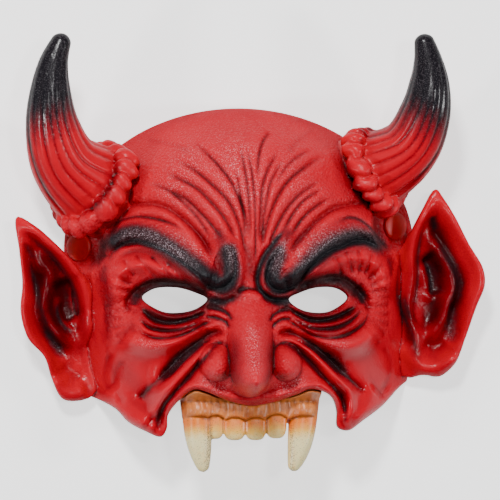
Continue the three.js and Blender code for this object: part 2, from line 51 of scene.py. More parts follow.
# Points on a smooth line through the given ones, at shares from 0 to 1 of the way along it.
def curvePoints(points, shares, closed=False):
    p = np.asarray(points, float)
    count = len(p)
    place = np.asarray(shares, float) * (count if closed else count - 1)
    i = np.floor(place).astype(int)
    if not closed:
        i = np.clip(i, 0, count - 2)
    w = (place - i)[:, None]
    if closed:
        q = [p[(i + k) % count] for k in (-1, 0, 1, 2)]
    else:
        longer = np.vstack([2 * p[0] - p[1], p, 2 * p[-1] - p[-2]])
        q = [longer[i + k] for k in range(4)]
    d = [np.sqrt(np.linalg.norm(q[k + 1] - q[k], axis=1))[:, None] for k in range(3)]
    d[1] = np.where(d[1] < 1e-4, 1, d[1])
    d[0] = np.where(d[0] < 1e-4, d[1], d[0])
    d[2] = np.where(d[2] < 1e-4, d[1], d[2])
    t1 = ((q[1] - q[0]) / d[0] - (q[2] - q[0]) / (d[0] + d[1]) + (q[2] - q[1]) / d[1]) * d[1]
    t2 = ((q[2] - q[1]) / d[1] - (q[3] - q[1]) / (d[1] + d[2]) + (q[3] - q[2]) / d[2]) * d[1]
    bend = -3 * q[1] + 3 * q[2] - 2 * t1 - t2
    return q[1] + t1 * w + bend * w ** 2 + (2 * q[1] - 2 * q[2] + t1 + t2) * w ** 3


# Distance from a smooth line, the share of the way along it, and whether a place is on its left.
def alongLine(x, y, line, reach, steps=5):
    path = curvePoints(line, np.linspace(0, 1, steps * (len(line) - 1) + 1))
    away = np.full(x.shape, np.inf)
    share = np.zeros(x.shape)
    left = np.zeros(x.shape, bool)
    low, high = path.min(0) - reach, path.max(0) + reach
    near = (x > low[0]) & (x < high[0]) & (y > low[1]) & (y < high[1])
    px, py = x[near], y[near]
    best = np.full(px.shape, np.inf)
    where = np.zeros(px.shape)
    side = np.zeros(px.shape)
    for i in range(len(path) - 1):
        dx, dy = path[i + 1] - path[i]
        ox, oy = px - path[i][0], py - path[i][1]
        along = np.clip((ox * dx + oy * dy) / (dx * dx + dy * dy), 0, 1)
        gap = np.hypot(ox - dx * along, oy - dy * along)
        closer = gap < best
        best[closer] = gap[closer]
        where[closer] = (i + along[closer]) / (len(path) - 1)
        side[closer] = (dx * oy - dy * ox)[closer]
    away[near] = best
    share[near] = where
    left[near] = side > 0
    return away, share, left


# A form along a smooth line: full on the line, and fading beside it and towards both of its ends.
# Two widths are those on the line's left and on its right.
def alongForm(x, y, line, height, width, power, reach, ends):
    widths = width if isinstance(width, tuple) else (width, width)
    away, share, left = alongLine(x, y, line, reach * max(widths))
    spread = np.where(left, widths[0], widths[1])
    shown = smoothStep(np.minimum(share, 1 - share), *ends)
    return np.where(np.isfinite(away), height * shown * np.exp(-np.minimum(away / spread, 9) ** power), 0)


# A ridge (height above 0) or a groove (below 0), in mm. A deep narrow groove is sharp at the bottom.
def foldHeight(x, y, line, height, width, tails=0.14):
    power = 1.45 if height < -1.4 and np.min(width) < 2.5 else 2.0
    return alongForm(x, y, line, height, width, power, 2.7, (-0.04, tails))


def meshPiece(name, points, faces):
    mesh = bpy.data.meshes.new(name)
    mesh.from_pydata([tuple(p) for p in np.asarray(points, float)], [], [tuple(f) for f in faces])
    mesh.validate()
    piece = bpy.data.objects.new(name, mesh)
    bpy.context.scene.collection.objects.link(piece)
    return piece


def pointsOf(piece):
    points = np.zeros(len(piece.data.vertices) * 3)
    piece.data.vertices.foreach_get("co", points)
    return points.reshape(-1, 3)


def normalsOf(piece):
    normals = np.zeros(len(piece.data.vertices) * 3)
    piece.data.vertex_normals.foreach_get("vector", normals)
    return normals.reshape(-1, 3)


def edgesOf(piece):
    edges = np.zeros(len(piece.data.edges) * 2, int)
    piece.data.edges.foreach_get("vertices", edges)
    return edges.reshape(-1, 2)


# The piece's mesh becomes what its modifiers make of it.
def settle(piece):
    shaped = piece.evaluated_get(bpy.context.evaluated_depsgraph_get())
    mesh = bpy.data.meshes.new_from_object(shaped)
    old = piece.data
    piece.modifiers.clear()
    piece.data = mesh
    mesh.name = old.name
    bpy.data.meshes.remove(old)


def joinAll(pieces, name):
    points, faces, start = [], [], 0
    for piece in pieces:
        points.append(pointsOf(piece))
        faces += [[start + i for i in f.vertices] for f in piece.data.polygons]
        start += len(piece.data.vertices)
        bpy.data.objects.remove(piece)
    return meshPiece(name, np.vstack(points), faces)


def remesh(piece, size):
    change = piece.modifiers.new("even", "REMESH")
    change.mode = "VOXEL"
    change.voxel_size = size
    settle(piece)


def cutAway(piece, cutter):
    change = piece.modifiers.new("cut", "BOOLEAN")
    change.operation = "DIFFERENCE"
    change.solver = "MANIFOLD"
    change.object = cutter
    settle(piece)
    bpy.data.objects.remove(cutter)


# Moves each point towards the middle of those it is joined to, round after round.
def evenOut(points, edges, rounds, strength):
    count = len(points)
    linked = np.bincount(edges.ravel(), minlength=count)[:, None]
    for _ in range(rounds):
        total = np.zeros_like(points)
        for axis in range(points.shape[1]):
            total[:, axis] = (np.bincount(edges[:, 0], points[edges[:, 1], axis], count)
                              + np.bincount(edges[:, 1], points[edges[:, 0], axis], count))
        points = points + strength * (total / np.maximum(linked, 1) - points)
    return points


def triangleCount(piece):
    return sum(len(f.vertices) - 2 for f in piece.data.polygons)


def thin(piece, target):
    triangles = triangleCount(piece)
    if triangles > target:
        change = piece.modifiers.new("fewer", "DECIMATE")
        change.ratio = target / triangles
        settle(piece)


# Keeps the largest connected skin: the cuts can leave scraps of a few faces beside it.
def dropScraps(piece):
    edges = edgesOf(piece)
    label, before = np.arange(len(piece.data.vertices)), None
    while not np.array_equal(label, before):
        before = label
        label = before.copy()
        np.minimum.at(label, edges.ravel(), np.repeat(before[edges].min(axis=1), 2))
        label = label[label]
    mesh = bmesh.new()
    mesh.from_mesh(piece.data)
    mesh.verts.ensure_lookup_table()
    scraps = [mesh.verts[int(k)] for k in np.flatnonzero(label != np.bincount(label).argmax())]
    bmesh.ops.delete(mesh, geom=scraps, context="VERTS")
    mesh.to_mesh(piece.data)
    mesh.free()
    print("scraps dropped", len(scraps))


# A tube given ring by ring, closed at both ends.
def tube(name, rings):
    rings = np.asarray(rings, float)
    count, sides = rings.shape[:2]
    points = np.vstack([rings.reshape(-1, 3), rings[0].mean(0), rings[-1].mean(0)])
    faces = []
    for i in range(sides):
        after = (i + 1) % sides
        for j in range(count - 1):
            a, b = j * sides + i, j * sides + after
            faces.append((a, a + sides, b + sides, b))
        faces.append((count * sides, i, after))
        faces.append((count * sides + 1, (count - 1) * sides + after, (count - 1) * sides + i))
    return meshPiece(name, points, faces)


# A straight cutter through the whole height, with an outline seen from the front.
def prism(name, outline, low=-20.0, high=140.0):
    outline = np.asarray(outline, float)
    count = len(outline)
    points = [(x, y, z) for z in (low, high) for x, y in outline]
    faces = [tuple(range(count))[::-1], tuple(range(count, 2 * count))]
    faces += [(i, (i + 1) % count, count + (i + 1) % count, count + i) for i in range(count)]
    ring = np.vstack([outline, outline[:1]])
    if np.sum(ring[:-1, 0] * ring[1:, 1] - ring[1:, 0] * ring[:-1, 1]) < 0:
        faces = [f[::-1] for f in faces]
    return meshPiece(name, points, faces)


maskShape = {
    "halfWidth": 86, "top": 69.5, "bottom": 98, "jawTaper": (12, 3), "height": 62, "chinDrop": 5,
    "flareHalfWidth": 96, "flareCentre": 6, "flareSpread": 22,  # the bulge at the temples
    "noseRoot": -15, "noseTip": -61.5, "noseRise": 35, "noseHalf": (10.2, 11.0), "noseUnder": 8.5,
    "ballFrom": -50, "wingAt": (16.8, -53.4, 0.6), "wingRadius": 7.8, "wingHeight": 13.5,
    "wingWeld": (1.4, 2.6),  # height and width of the soft join between the nose and its wings
    "socketAt": (35, -24), "socketSize": (21, 9), "socketDepth": 7,
    "wall": 3.0,
    "cells": (290, 130),  # cells across the outer and the inner surface as they are drawn
    "voxel": 0.66,  # spacing of the surface while it is modelled, mm
    "edgeRound": 1.5,  # rounding of the lip and of the eye holes, mm
    "even": (2, 0.45), "evenEars": (7, 0.5),  # rounds and strength of the evening
    "triangles": 190000,
}

# Rolls and creases of the face: the line, the height above or below the surface, and the width, in mm.
faceFolds = {
    "muzzle": ([(-48, -66), (-36, -66), (-20, -62), (0, -62), (20, -62), (36, -66), (48, -66)], 6, 8),
    "jawLobeL": ([(-46, -83), (-56, -77), (-66, -68)], 4, 6),
    "jawLobeR": ([(46, -83), (56, -77), (66, -68)], 4, 6),
    "browL": ([(-66.5, -2.9), (-64, 2.9), (-59.5, 6.7), (-53.1, 7.7), (-46.7, 5.7), (-39.4, 1.4),
        (-33.1, -3.3), (-26.3, -8.5), (-20.3, -12.8), (-16.2, -13.7)], 9.4, (8.5, 4.6)),
    "browHookL": ([(-18.5, -13.7), (-13.6, -14.7), (-9.6, -10.9), (-9.1, -5.7), (-10.5, 1),
        (-13.5, 6.7)], 5, 4.6),
    "browEdgeL": ([(-65.6, -6.8), (-63.4, -1), (-59.3, 2.4), (-54.3, 4.3), (-48.8, 3.4), (-44.3, 1.4),
        (-39.8, -0.5), (-35.3, -3.8), (-30.8, -7.1), (-26.3, -10.9), (-22.5, -14.7), (-18.6, -17.6),
        (-14.3, -18.1), (-10.6, -16.2), (-7.9, -12.3), (-6.9, -7.6), (-7.7, -1),
        (-8.8, 3.8)], -2.88, 1.4),
    "browRimL": ([(-63.8, -5.8), (-60.1, -1), (-53.3, 1.4), (-46.5, 0.5), (-39.8, -2.4), (-33.9, -6.7),
        (-28.5, -11.9), (-23.6, -16.7), (-18.7, -20.5), (-13.5, -22.4), (-8.9, -20.5), (-5.1, -15.7),
        (-4.2, -8.6), (-5.6, -1), (-7.3, 4.8)], 2.9, 1.7),
    "browCreaseL": ([(-64.9, 6.7), (-61.1, 13), (-54.3, 15.8), (-45.1, 15.3), (-37.1, 12.9),
        (-30.5, 9.1)], -1.8, 1.2),
    "frownL": ([(-62.2, 17.9), (-55.2, 21.2), (-46.5, 22.1), (-38.3, 20.1), (-31.4, 15.3), (-24.9, 9.1),
        (-20.8, 3.3), (-17.9, -2.9)], -3.51, 1.9),
    "frownRollL": ([(-56.3, 18.3), (-47, 19.2), (-39.6, 16.8), (-33.2, 12), (-27.4, 5.7),
        (-22.2, -2.4)], 2, 2.6),
    "lidL": ([(-60.6, -25.5), (-63.1, -18.3), (-61.7, -11.5), (-56.2, -7.7), (-48.4, -6.2), (-40.3, -8.6),
        (-33.5, -12.4), (-26.4, -16.7), (-21.1, -19.5)], 8, (6.4, 4.4)),
    "lidEdgeL": ([(-54.6, -29.6), (-56.4, -27), (-53.6, -20.7), (-48.1, -16.8), (-40.9, -15.3),
        (-32.8, -15.7), (-25.3, -18.1), (-18.7, -21)], -4.2, 2.3),
    "socketL": ([(-54.6, -26.9), (-52.2, -22.6), (-49, -19.7)], -2.4, 3.4),
    "lidWrinkleL1": ([(-58.9, -4.3), (-56.8, -8.6), (-53.2, -13)], -1.35, 1.1),
    "lidWrinkleL2": ([(-53.5, -2.1), (-49, -7.7), (-43.5, -13.3)], -1.35, 1.1),
    "lidWrinkleL3": ([(-46.8, -2.5), (-41.1, -8.7), (-36.4, -13.6)], -1.35, 1.1),
    "lidWrinkleL4": ([(-39.6, -5.5), (-34.4, -11.1), (-29.1, -15.4)], -1.35, 1.1),
    "lidWrinkleL5": ([(-65.1, -11.9), (-59.9, -14.4), (-54.3, -16.9)], -1.2, 1.5),
    "lidWrinkleL6": ([(-65.7, -18.1), (-60.3, -19.2), (-54.7, -19.9)], -1.2, 1.5),
    "lowLidL": ([(-48, -26.9), (-42.7, -30.2), (-35.9, -32), (-28, -31), (-20.8, -28.1)], 3.4, 1.3),
    "bagBandL": ([(-50, -28.3), (-44.7, -33), (-36.1, -34.8), (-27.8, -32.8),
        (-20.5, -29.6)], -3.12, 1.3),
    "bag2L": ([(-50.5, -31.2), (-45.2, -35.4), (-38.9, -36.7), (-30.7, -35.7), (-22.1, -31.9)], 2.1, 1.1),
    "bagGroove2L": ([(-51.5, -33.1), (-46.6, -37.3), (-39.8, -38.6), (-32.1, -37.6),
        (-23.7, -34.2)], -1.56, 0.9),
    "bag3L": ([(-52.5, -34.5), (-48, -38.8), (-41.7, -40.1), (-34, -39.5), (-26.1, -36.6)], 1.8, 1.1),
    "bagGroove3L": ([(-50.9, -39.7), (-45, -42), (-37.7, -41.9), (-29.8, -39.5), (-22.4, -35.6),
        (-16.2, -33.8)], -2.34, 1.3),
    "cheekboneL": ([(-58.4, -41.4), (-54.4, -44.1), (-49, -45.4), (-43.6, -45.3), (-35.4, -42.9),
        (-28, -39), (-20.5, -36.6)], 7, (4.4, 4.8)),
    "crease1L": ([(-11.5, -39.9), (-16.7, -39.6), (-21.8, -42), (-27.3, -46.3), (-32.9, -51.2),
        (-37.5, -57), (-42.9, -62.4)], -5.8, (2.4, 2.6)),
    "crease1EndL": ([(-27.3, -46.3), (-37.5, -57), (-42.9, -62.4), (-48.3, -68.3),
        (-51.6, -72.2)], -2.4, 2.1),
    "ridgeL": ([(-14.5, -43.8), (-20.4, -47.1), (-25.5, -52.5), (-31.2, -57.8), (-35.7, -63.2),
        (-40.1, -69.5), (-42.8, -75.9), (-44.1, -82.2)], 3.4, 2.6),
    "crease1bL": ([(-16.7, -42), (-22.4, -45.3), (-27.9, -50.1), (-33.6, -55.9), (-38.9, -61.3),
        (-43.9, -66.2)], -2.08, 1.1),
    "crease2L": ([(-12.4, -43.7), (-17.1, -46.1), (-22.3, -51.8), (-26.6, -57.7), (-31.3, -63.5),
        (-35.5, -68.5), (-39, -73.4), (-40.9, -79.2), (-41.2, -86.5)], -4.8, 1.9),
    "lipBandL": ([(-39.5, -80.6), (-37.7, -74.8), (-34.2, -69.9), (-30.2, -65.7), (-25.7, -64.6),
        (-21, -65.6), (-14.6, -68.3), (-8.3, -70.1), (-0.7, -71.6)], 2.6, 1.9),
    "jawRollL": ([(-66.8, -73), (-60.6, -77.5), (-54.2, -82.1), (-47.7, -84.8), (-43.1, -86.6)], 2.4, 3),
    "noseWrinkleL1": ([(-20.3, -26.7), (-14.9, -28.1), (-10.4, -30.4), (-8.5, -34.2)], -2.4, 1.5),
    "noseWrinkleL2": ([(-21.2, -31.9), (-15.6, -32.3), (-11.4, -34.2), (-9.4, -37.9)], -2.4, 1.5),
    "noseRollL1": ([(-19.6, -29.6), (-14.1, -30.5), (-10.1, -33.3)], 1.4, 1.5),
    "eyeCornerL1": ([(-51.5, -28.2), (-57.4, -30), (-63.2, -29.4)], -1.2, 1.6),
    "eyeCornerL2": ([(-52.1, -30.3), (-57.9, -32.8), (-64.1, -33.6)], -1.2, 1.6),
    "eyeCornerL3": ([(-52.7, -32.5), (-58.4, -36.2), (-64, -38.1)], -1.2, 1.6),
    "eyeCornerL4": ([(-53, -35.3), (-57.6, -38.9), (-62.5, -42.2)], -1.2, 1.6),
    "eyeCornerL5": ([(-52.8, -38), (-56.7, -41.8), (-60.3, -46.1)], -1.2, 1.6),
    "jawFoldL1": ([(-63.6, -49.3), (-66.2, -56.2), (-66.5, -63.1), (-63.4, -69.7)], -1.2, 1.6),
    "jawFoldL2": ([(-58.1, -53), (-61.7, -59), (-62.1, -66.8), (-58, -74.4)], -0.96, 1.8),
    "browR": ([(15.8, -15.2), (19.6, -12.3), (25.2, -6.7), (31.9, -0.5), (38.7, 4.3), (46.1, 8.2),
        (53, 10.1), (60.6, 8.7), (66.2, 4.4), (71.4, -1)], 9.4, (8.5, 4.6)),
    "browHookR": ([(19.7, 7.6), (15.7, 1.4), (12.5, -5.2), (11.4, -10.5), (13.6, -14.7),
        (17.7, -14.2)], 5, 4.6),
    "browEdgeR": ([(18.7, 6.2), (14.7, 0.5), (10.6, -5.7), (8.4, -10.9), (8.9, -15.7), (12.1, -18.6),
        (16.4, -19.5), (20.3, -18.1), (23.9, -14.8), (27.7, -10), (32.9, -4.8), (39.3, -0.5), (46.4, 1.4),
        (53.3, 4.3), (60.2, 3.9), (65.9, 0.5), (70.2, -4.9)], -2.88, 1.4),
    "browRimR": ([(16.2, 7.6), (11.6, 1), (7.5, -5.2), (5.6, -10.9), (6.3, -17.1), (10.3, -21),
        (15.7, -21.9), (21.1, -19.6), (25.2, -16.2), (29.8, -11.4), (36.2, -5.7), (44.9, -1), (54.1, 1.9),
        (61.4, 1.5), (67.4, -2.9)], 2.9, 1.7),
    "betweenBrowsR": ([(17.2, 10), (12.2, 3.8), (7.5, -2.4), (4.8, -9), (4.1, -15.7), (6.3, -20.5),
        (11.8, -23.8), (18.8, -22.9)], -4.08, 1.8),
    "browCreaseR": ([(43.7, 13.4), (50.2, 15.9), (56, 14.5), (61.8, 10.2), (67.4, 4.4)], -1.8, 1.2),
    "frownR": ([(18.6, -1), (23.6, 4.3), (31.3, 12), (40.1, 18.8), (49.1, 21.3),
        (59.8, 22.8)], -3.51, 1.9),
    "frownRollR": ([(22.2, -2.9), (27.4, 3.3), (34.2, 10.1), (42.1, 15.9), (50.8, 18.8)], 2, 2.6),
    "lidR": ([(27.2, -16.2), (35.1, -9.6), (42.6, -5.3), (51.4, -3.4), (60.1, -4.4), (66.7, -8.7),
        (68.9, -15.1), (67.1, -22.8)], 8, (6.4, 4.4)),
    "lidEdgeR": ([(19.6, -20.5), (26.2, -16.2), (35.1, -13.4), (44.9, -13.5), (51.5, -16.4),
        (56.3, -20.8), (59.9, -26.6), (58.2, -29.8)], -4.2, 2.3),
    "socketR": ([(53.6, -17.9), (57.3, -21.3), (58.9, -26.1)], -2.4, 3.4),
    "lidWrinkleR1": ([(40.4, -2.3), (43.6, -6.6), (46.4, -12.2)], -1.35, 1.1),
    "lidWrinkleR2": ([(47.1, 0), (50.1, -5.8), (52.1, -12)], -1.35, 1.1),
    "lidWrinkleR3": ([(54.6, 0.4), (55.5, -5.8), (55.8, -11.4)], -1.35, 1.1),
    "lidWrinkleR4": ([(62.2, -1.7), (60.5, -6.8), (58.4, -12.3)], -1.35, 1.1),
    "lidWrinkleR5": ([(68.2, -6.9), (64.2, -10.7), (60, -14.9)], -1.2, 1.5),
    "lidWrinkleR6": ([(71.2, -13.6), (65.7, -15.4), (61.1, -17.9)], -1.2, 1.5),
    "lidWrinkleR7": ([(70.4, -19.4), (65.9, -19.9), (61.5, -20.4)], -1.2, 1.5),
    "lowLidR": ([(20.9, -26.8), (27.6, -30.6), (34.6, -31.6), (43, -30.3), (50.6, -26.5)], 3.4, 1.3),
    "bagBandR": ([(18.9, -27.2), (24.5, -31.5), (31.1, -33.9), (38.4, -33.5), (45.8, -31.2),
        (53.6, -27.5)], -3.12, 1.3),
    "bag2R": ([(20.6, -30.5), (27, -34.3), (33, -35.8), (41.4, -35.5), (50.1, -32.3),
        (56.2, -27.5)], 2.1, 1.1),
    "bagGroove2R": ([(22.2, -33.4), (27.9, -36.7), (34.5, -37.7), (43, -36.9), (51, -33.7),
        (56.6, -29.5)], -1.56, 0.9),
    "bag3R": ([(24, -34.8), (28.8, -38.6), (35.4, -39.6), (44.4, -39.3), (51.9, -36.1),
        (57.6, -30.9)], 1.8, 1.1),
    "bagGroove3R": ([(17.3, -33.3), (22, -35.7), (28, -39.6), (35.8, -42), (45.2, -41.7), (52.6, -38.9),
        (58.6, -34.3), (60.4, -28.6)], -2.34, 1.3),
    "cheekboneR": ([(20.2, -37.1), (27.1, -39.6), (33.9, -42.5), (41, -44.9), (48.3, -46.1), (55, -44.8),
        (61.3, -41.1), (65.3, -36.4)], 7, (4.4, 4.8)),
    "crease1R": ([(12.6, -40), (19.6, -39.6), (25.7, -42.1), (31.8, -46), (38.1, -50.9), (43.4, -55.9),
        (48.7, -60.8)], -5.8, (2.6, 2.4)),
    "crease1EndR": ([(31.8, -46), (43.4, -55.9), (48.7, -60.8), (54.7, -65.7), (58.7, -69.1)], -2.4, 2.1),
    "ridgeR": ([(16.3, -43), (21.8, -43.5), (27.8, -47.4), (33.9, -52.3), (39.2, -57.2), (45.6, -63.2),
        (49.5, -69), (50.3, -74.7), (48.1, -81.8)], 3.4, 2.6),
    "crease1bR": ([(19.8, -42), (25.8, -44.5), (32, -48.4), (38.3, -53.8), (43.6, -59.3),
        (48.9, -64.2)], -2.08, 1.1),
    "crease2R": ([(14, -44.3), (20.3, -46.2), (26.6, -50.7), (31.5, -55.5), (36.7, -61.4), (41.9, -66.3),
        (46.1, -71.2), (47.6, -75.6), (46.3, -81.9)], -4.8, 1.9),
    "lipBandR": ([(-2.6, -71.6), (3.7, -70.5), (12.7, -69.7), (21, -67.1), (26.7, -64.7), (33.2, -64.2),
        (38.5, -67.2), (43.1, -72.1), (45.6, -77.9)], 2.6, 1.9),
    "jawRollR": ([(51.5, -83.9), (58.9, -78.4), (68, -74), (76.4, -68.6), (84.6, -64)], 2.4, 3),
    "noseWrinkleR1": ([(20.3, -28.2), (15.2, -29.1), (11.1, -31.4), (8.7, -34.7)], -2.4, 1.5),
    "noseWrinkleR2": ([(20.8, -32.9), (16.4, -32.9), (12.5, -34.8), (10.3, -38)], -2.4, 1.5),
    "noseRollR1": ([(18.5, -31), (14.1, -31.5), (11, -33.8)], 1.4, 1.5),
    "eyeCornerR1": ([(58.5, -27.1), (65.4, -27.8), (72.5, -26.7)], -1.2, 1.6),
    "eyeCornerR2": ([(59, -29.2), (65.9, -31.2), (73.1, -31.9)], -1.2, 1.6),
    "eyeCornerR3": ([(59.5, -31.3), (65.9, -34.5), (72.5, -37)], -1.2, 1.6),
    "eyeCornerR4": ([(59.1, -33.4), (64.8, -37.8), (70, -42.2)], -1.2, 1.6),
    "eyeCornerR5": ([(57.5, -35.7), (62.6, -40.7), (66.2, -46.2)], -1.2, 1.6),
    "jawFoldR1": ([(73.6, -43), (78.5, -50), (79.8, -56.9), (76.3, -64.6)], -1.2, 1.6),
    "jawFoldR2": ([(67.8, -46.7), (72.5, -53.7), (72.6, -61.5), (68, -69.1)], -0.96, 1.8),
    "noseRootDip": ([(-6.6, -19.5), (-2.6, -18.6), (1.1, -18.6), (5.8, -20)], -1.5, 1.5),
    "noseRootRoll": ([(-8.5, -22.4), (-3.7, -20.9), (1, -20.9), (6.7, -22.4)], 1.6, 1.6),
    "fanL0": ([(-47.3, 53.5), (-39.9, 52.3), (-33.2, 50.6), (-27.1, 47.1)], -1.47, 1.8),
    "fanL1": ([(-24.4, 52), (-18.3, 45.5), (-13, 39.2), (-8.5, 32.9), (-5.4, 26.2), (-1.7, 16.2),
        (0.1, 1)], -2.52, 1.5),
    "fanL2": ([(-32.8, 43.2), (-24.8, 37.8), (-17.1, 31), (-9.7, 22.9), (-4.6, 11.4),
        (-1.7, -2.4)], -2.73, 1.5),
    "fanL3": ([(-38.2, 36.9), (-31.4, 33.5), (-24.1, 29.1), (-17.2, 21.9), (-11.2, 14.3),
        (-5.5, 2.4)], -2.73, 1.5),
    "fanL4": ([(-36.6, 28.2), (-29.7, 24.4), (-23.3, 18.1), (-17.7, 11.9), (-13.1, 5.7)], -2.52, 1.5),
    "fanL5": ([(-46.1, 31.7), (-37.9, 28.7), (-30.6, 22.5), (-23.2, 13.8), (-17.7, 4.8)], -1.89, 1.5),
    "fanMid1": ([(-2.9, 48.9), (-1.6, 39.2), (-0.5, 30), (0.2, 20), (0.6, 4.8)], -2.1, 1.2),
    "fanMid2": ([(0, 48.9), (1.7, 37.7), (2.7, 23.8), (3, 7.1), (2.7, -5.7)], -2.1, 1.2),
    "fanMid3": ([(-5.9, 38.2), (-4.4, 28.6), (-2.7, 16.7), (-1.8, 4.8)], -1.68, 1.1),
    "fanR0": ([(35.5, 59), (25.6, 52.6), (20.4, 47.1)], -1.47, 1.8),
    "fanR1": ([(12.1, 57.4), (8, 51.9), (5.4, 44), (4.4, 33.4)], -2.1, 1.4),
    "fanR2": ([(14.9, 47), (9.5, 38.2), (6.7, 30.1), (5.5, 16.7), (4.5, 2.4)], -2.52, 1.4),
    "fanR3": ([(17.6, 43.1), (11.2, 33.4), (8.5, 23.8), (6.9, 13.3), (5.9, 1)], -2.31, 1.4),
    "fanR4": ([(37.2, 45.4), (27.4, 39.3), (19.5, 33), (13.4, 24.3), (9.3, 14.3),
        (6.4, 1.9)], -2.94, 1.5),
    "fanR5": ([(35.2, 32.7), (24.8, 26.3), (18.2, 19.1), (12.8, 10), (9.7, 2.9)], -2.52, 1.5),
    "fanR6": ([(36.1, 28.8), (27.3, 23.9), (21.2, 16.7), (16.7, 9.1)], -2.52, 1.4),
    "fanR7": ([(39.7, 24.5), (30.8, 19.2), (24.8, 13.4), (20.3, 6.7)], -2.31, 1.4),
    "fanR8": ([(31.2, 48.2), (23.7, 44.2), (17.3, 38.3), (13.1, 31.5)], -1.47, 1.4),
}

eyeOutline = [(49.6, -23), (44.6, -18.8), (34, -18), (25, -20.5), (19.5, -23.5), (24, -27.8), (32, -30),
    (41, -29.3)]
jawLine = [(-77, -70), (-68, -73.5), (-61, -77.5), (-55.5, -83.4), (-48, -87.4), (-40.5, -90), (-38, -86),
    (-37.5, -79), (-32.5, -71.5), (-26, -66.4), (-21, -67.4), (-10, -71.8), (0.8, -74.4), (11, -72.9),
    (23, -69), (29, -66.5), (36.5, -68), (41, -71), (43.6, -77), (44.5, -85.5), (50, -87.3),
    (57.5, -82.7), (67.6, -76.5), (78, -68), (88, -62)]
studPlaces = [(-78.6, 1.6, 11.5, 33), (75.4, 11.8, 11.5, 33)]


def halfWidthAt(x, y):
    taper = np.where(x < 0, maskShape["jawTaper"][0], maskShape["jawTaper"][1])
    return maskShape["halfWidth"] - taper * (np.maximum(0, -y) / 70) ** 1.5


# The plain dome of the mask, before any feature.
def blankHeight(x, y):
    m = maskShape
    up = np.clip(y / m["top"], 0, 1)
    down = np.maximum(0, -y)
    flare = np.exp(-(((y - m["flareCentre"]) / m["flareSpread"]) ** 2))
    crown = m["height"] * (1 - up ** 2.6) ** 0.55 - m["chinDrop"] * (down / 75) ** 4
    half = halfWidthAt(x, y) * np.sqrt(1 - up * up) + (m["flareHalfWidth"] - m["halfWidth"]) * flare
    out = np.clip(np.abs(x) / np.maximum(half, 1e-3), 0, 1)
    return crown * (1 - out ** (2.4 - 0.6 * flare)) ** (1 + 0.4 * flare)


def noseHeight(x, y):
    m = maskShape
    along = np.clip((m["noseRoot"] - y) / (m["noseRoot"] - m["noseTip"]), 0, 1)
    under = np.clip((m["noseTip"] - y) / m["noseUnder"], 0, 1)
    low = np.clip((m["ballFrom"] - y) / (m["ballFrom"] - m["noseTip"] + m["noseUnder"]), 0, 1)
    half = m["noseHalf"][0] + (m["noseHalf"][1] - m["noseHalf"][0]) * along
    half = (half + 3.5 * smoothStep(along, 0.4, 0.0)) * np.maximum(0.12, np.sqrt(1 - low ** 1.8))
    rise = m["noseRise"] * (along + smoothStep(along, 0, 1)) / 2
    rounded = np.clip(1 - (np.abs(x) / half) ** 2 - under ** 2, 0, 1) ** 0.72
    spread = np.exp(-((np.abs(x) / half) ** 2)) * np.sqrt(1 - under ** 2)
    ridge = rise * (0.55 * rounded + 0.45 * spread)
    wingX, wingY, middle = m["wingAt"]
    wing = np.hypot(np.abs(x - middle) - wingX, (y - wingY) / 1.15) / m["wingRadius"]
    ball = m["wingHeight"] * np.clip(1 - wing ** 2, 0, 1) ** 0.62
    high, wide = m["wingWeld"]
    weld = high * np.exp(-((ridge - ball) / wide) ** 2) * (np.minimum(ridge, ball) > 0.5)
    return np.where(ridge > ball, ridge, ball) + weld


def socketHeight(x, y):
    m = maskShape
    (atX, atY), (wide, high) = m["socketAt"], m["socketSize"]
    out = np.hypot((np.abs(x) - atX) / wide, (y - atY) / high)
    return -m["socketDepth"] * np.exp(-(out ** 3))


# How far inside a closed outline a place is, below 0 outside.
def insideBy(x, y, outline):
    away = np.full(x.shape, np.inf)
    inside = np.zeros(x.shape, bool)
    for (ax, ay), (bx, by) in zip(outline, np.roll(outline, -1, 0)):
        dx, dy = bx - ax, by - ay
        along = np.clip(((x - ax) * dx + (y - ay) * dy) / (dx * dx + dy * dy), 0, 1)
        away = np.minimum(away, np.hypot(x - ax - dx * along, y - ay - dy * along))
        if ay != by:
            crosses = ((ay > y) != (by > y)) & (x < (y - ay) * dx / (by - ay) + ax)
            inside ^= crosses
    return np.where(inside, away, -away)


eyeOutlines = [
    curvePoints([(side * x, y) for x, y in eyeOutline], np.arange(64) / 64, closed=True) for side in (-1, 1)
]
belowJaw = [(100, -62), (100, -130), (-77, -130)]
jawOutline = np.vstack([curvePoints(jawLine, np.linspace(0, 1, 240)), belowJaw])


# How far the surface drops next to a cut edge.
def roundedEdge(gap):
    radius = maskShape["edgeRound"]
    near = np.clip(1 - gap / radius, 0, 1)
    return radius * (1 - np.sqrt(1 - near * near))


def outerHeight(x, y):
    blank = blankHeight(x, y)
    relief = noseHeight(x, y) + socketHeight(x, y)
    for line, height, width in faceFolds.values():
        relief = relief + foldHeight(x, y, line, height, width)
    height = blank + relief * smoothStep(blank, 2, 20)
    for sx, sy, sz, slope in studPlaces:
        plane = sz - np.sign(sx) * (x - sx) * math.tan(math.radians(slope))
        away = np.hypot(x - sx, y - sy)
        height = height + (plane - height) * (1 - smoothStep(away, 9.5, 14.5))
    for outline in [*eyeOutlines, jawOutline]:
        height = height - roundedEdge(np.maximum(0, -insideBy(x, y, outline)))
    return height


# Place on the face, with u and v from -1 to 1 over the whole of it.
def facePlace(u, v, margin):
    m = maskShape
    yLow = v * (m["bottom"] + margin)
    xLow = u * (halfWidthAt(u, yLow) + margin)
    xHigh = u * (m["halfWidth"] + margin) * np.sqrt(1 - v * v / 2)
    yHigh = (m["top"] + margin) * v * np.sqrt(1 - u * u / 2)
    return np.where(v < 0, xLow, xHigh), np.where(v < 0, yLow, yHigh)


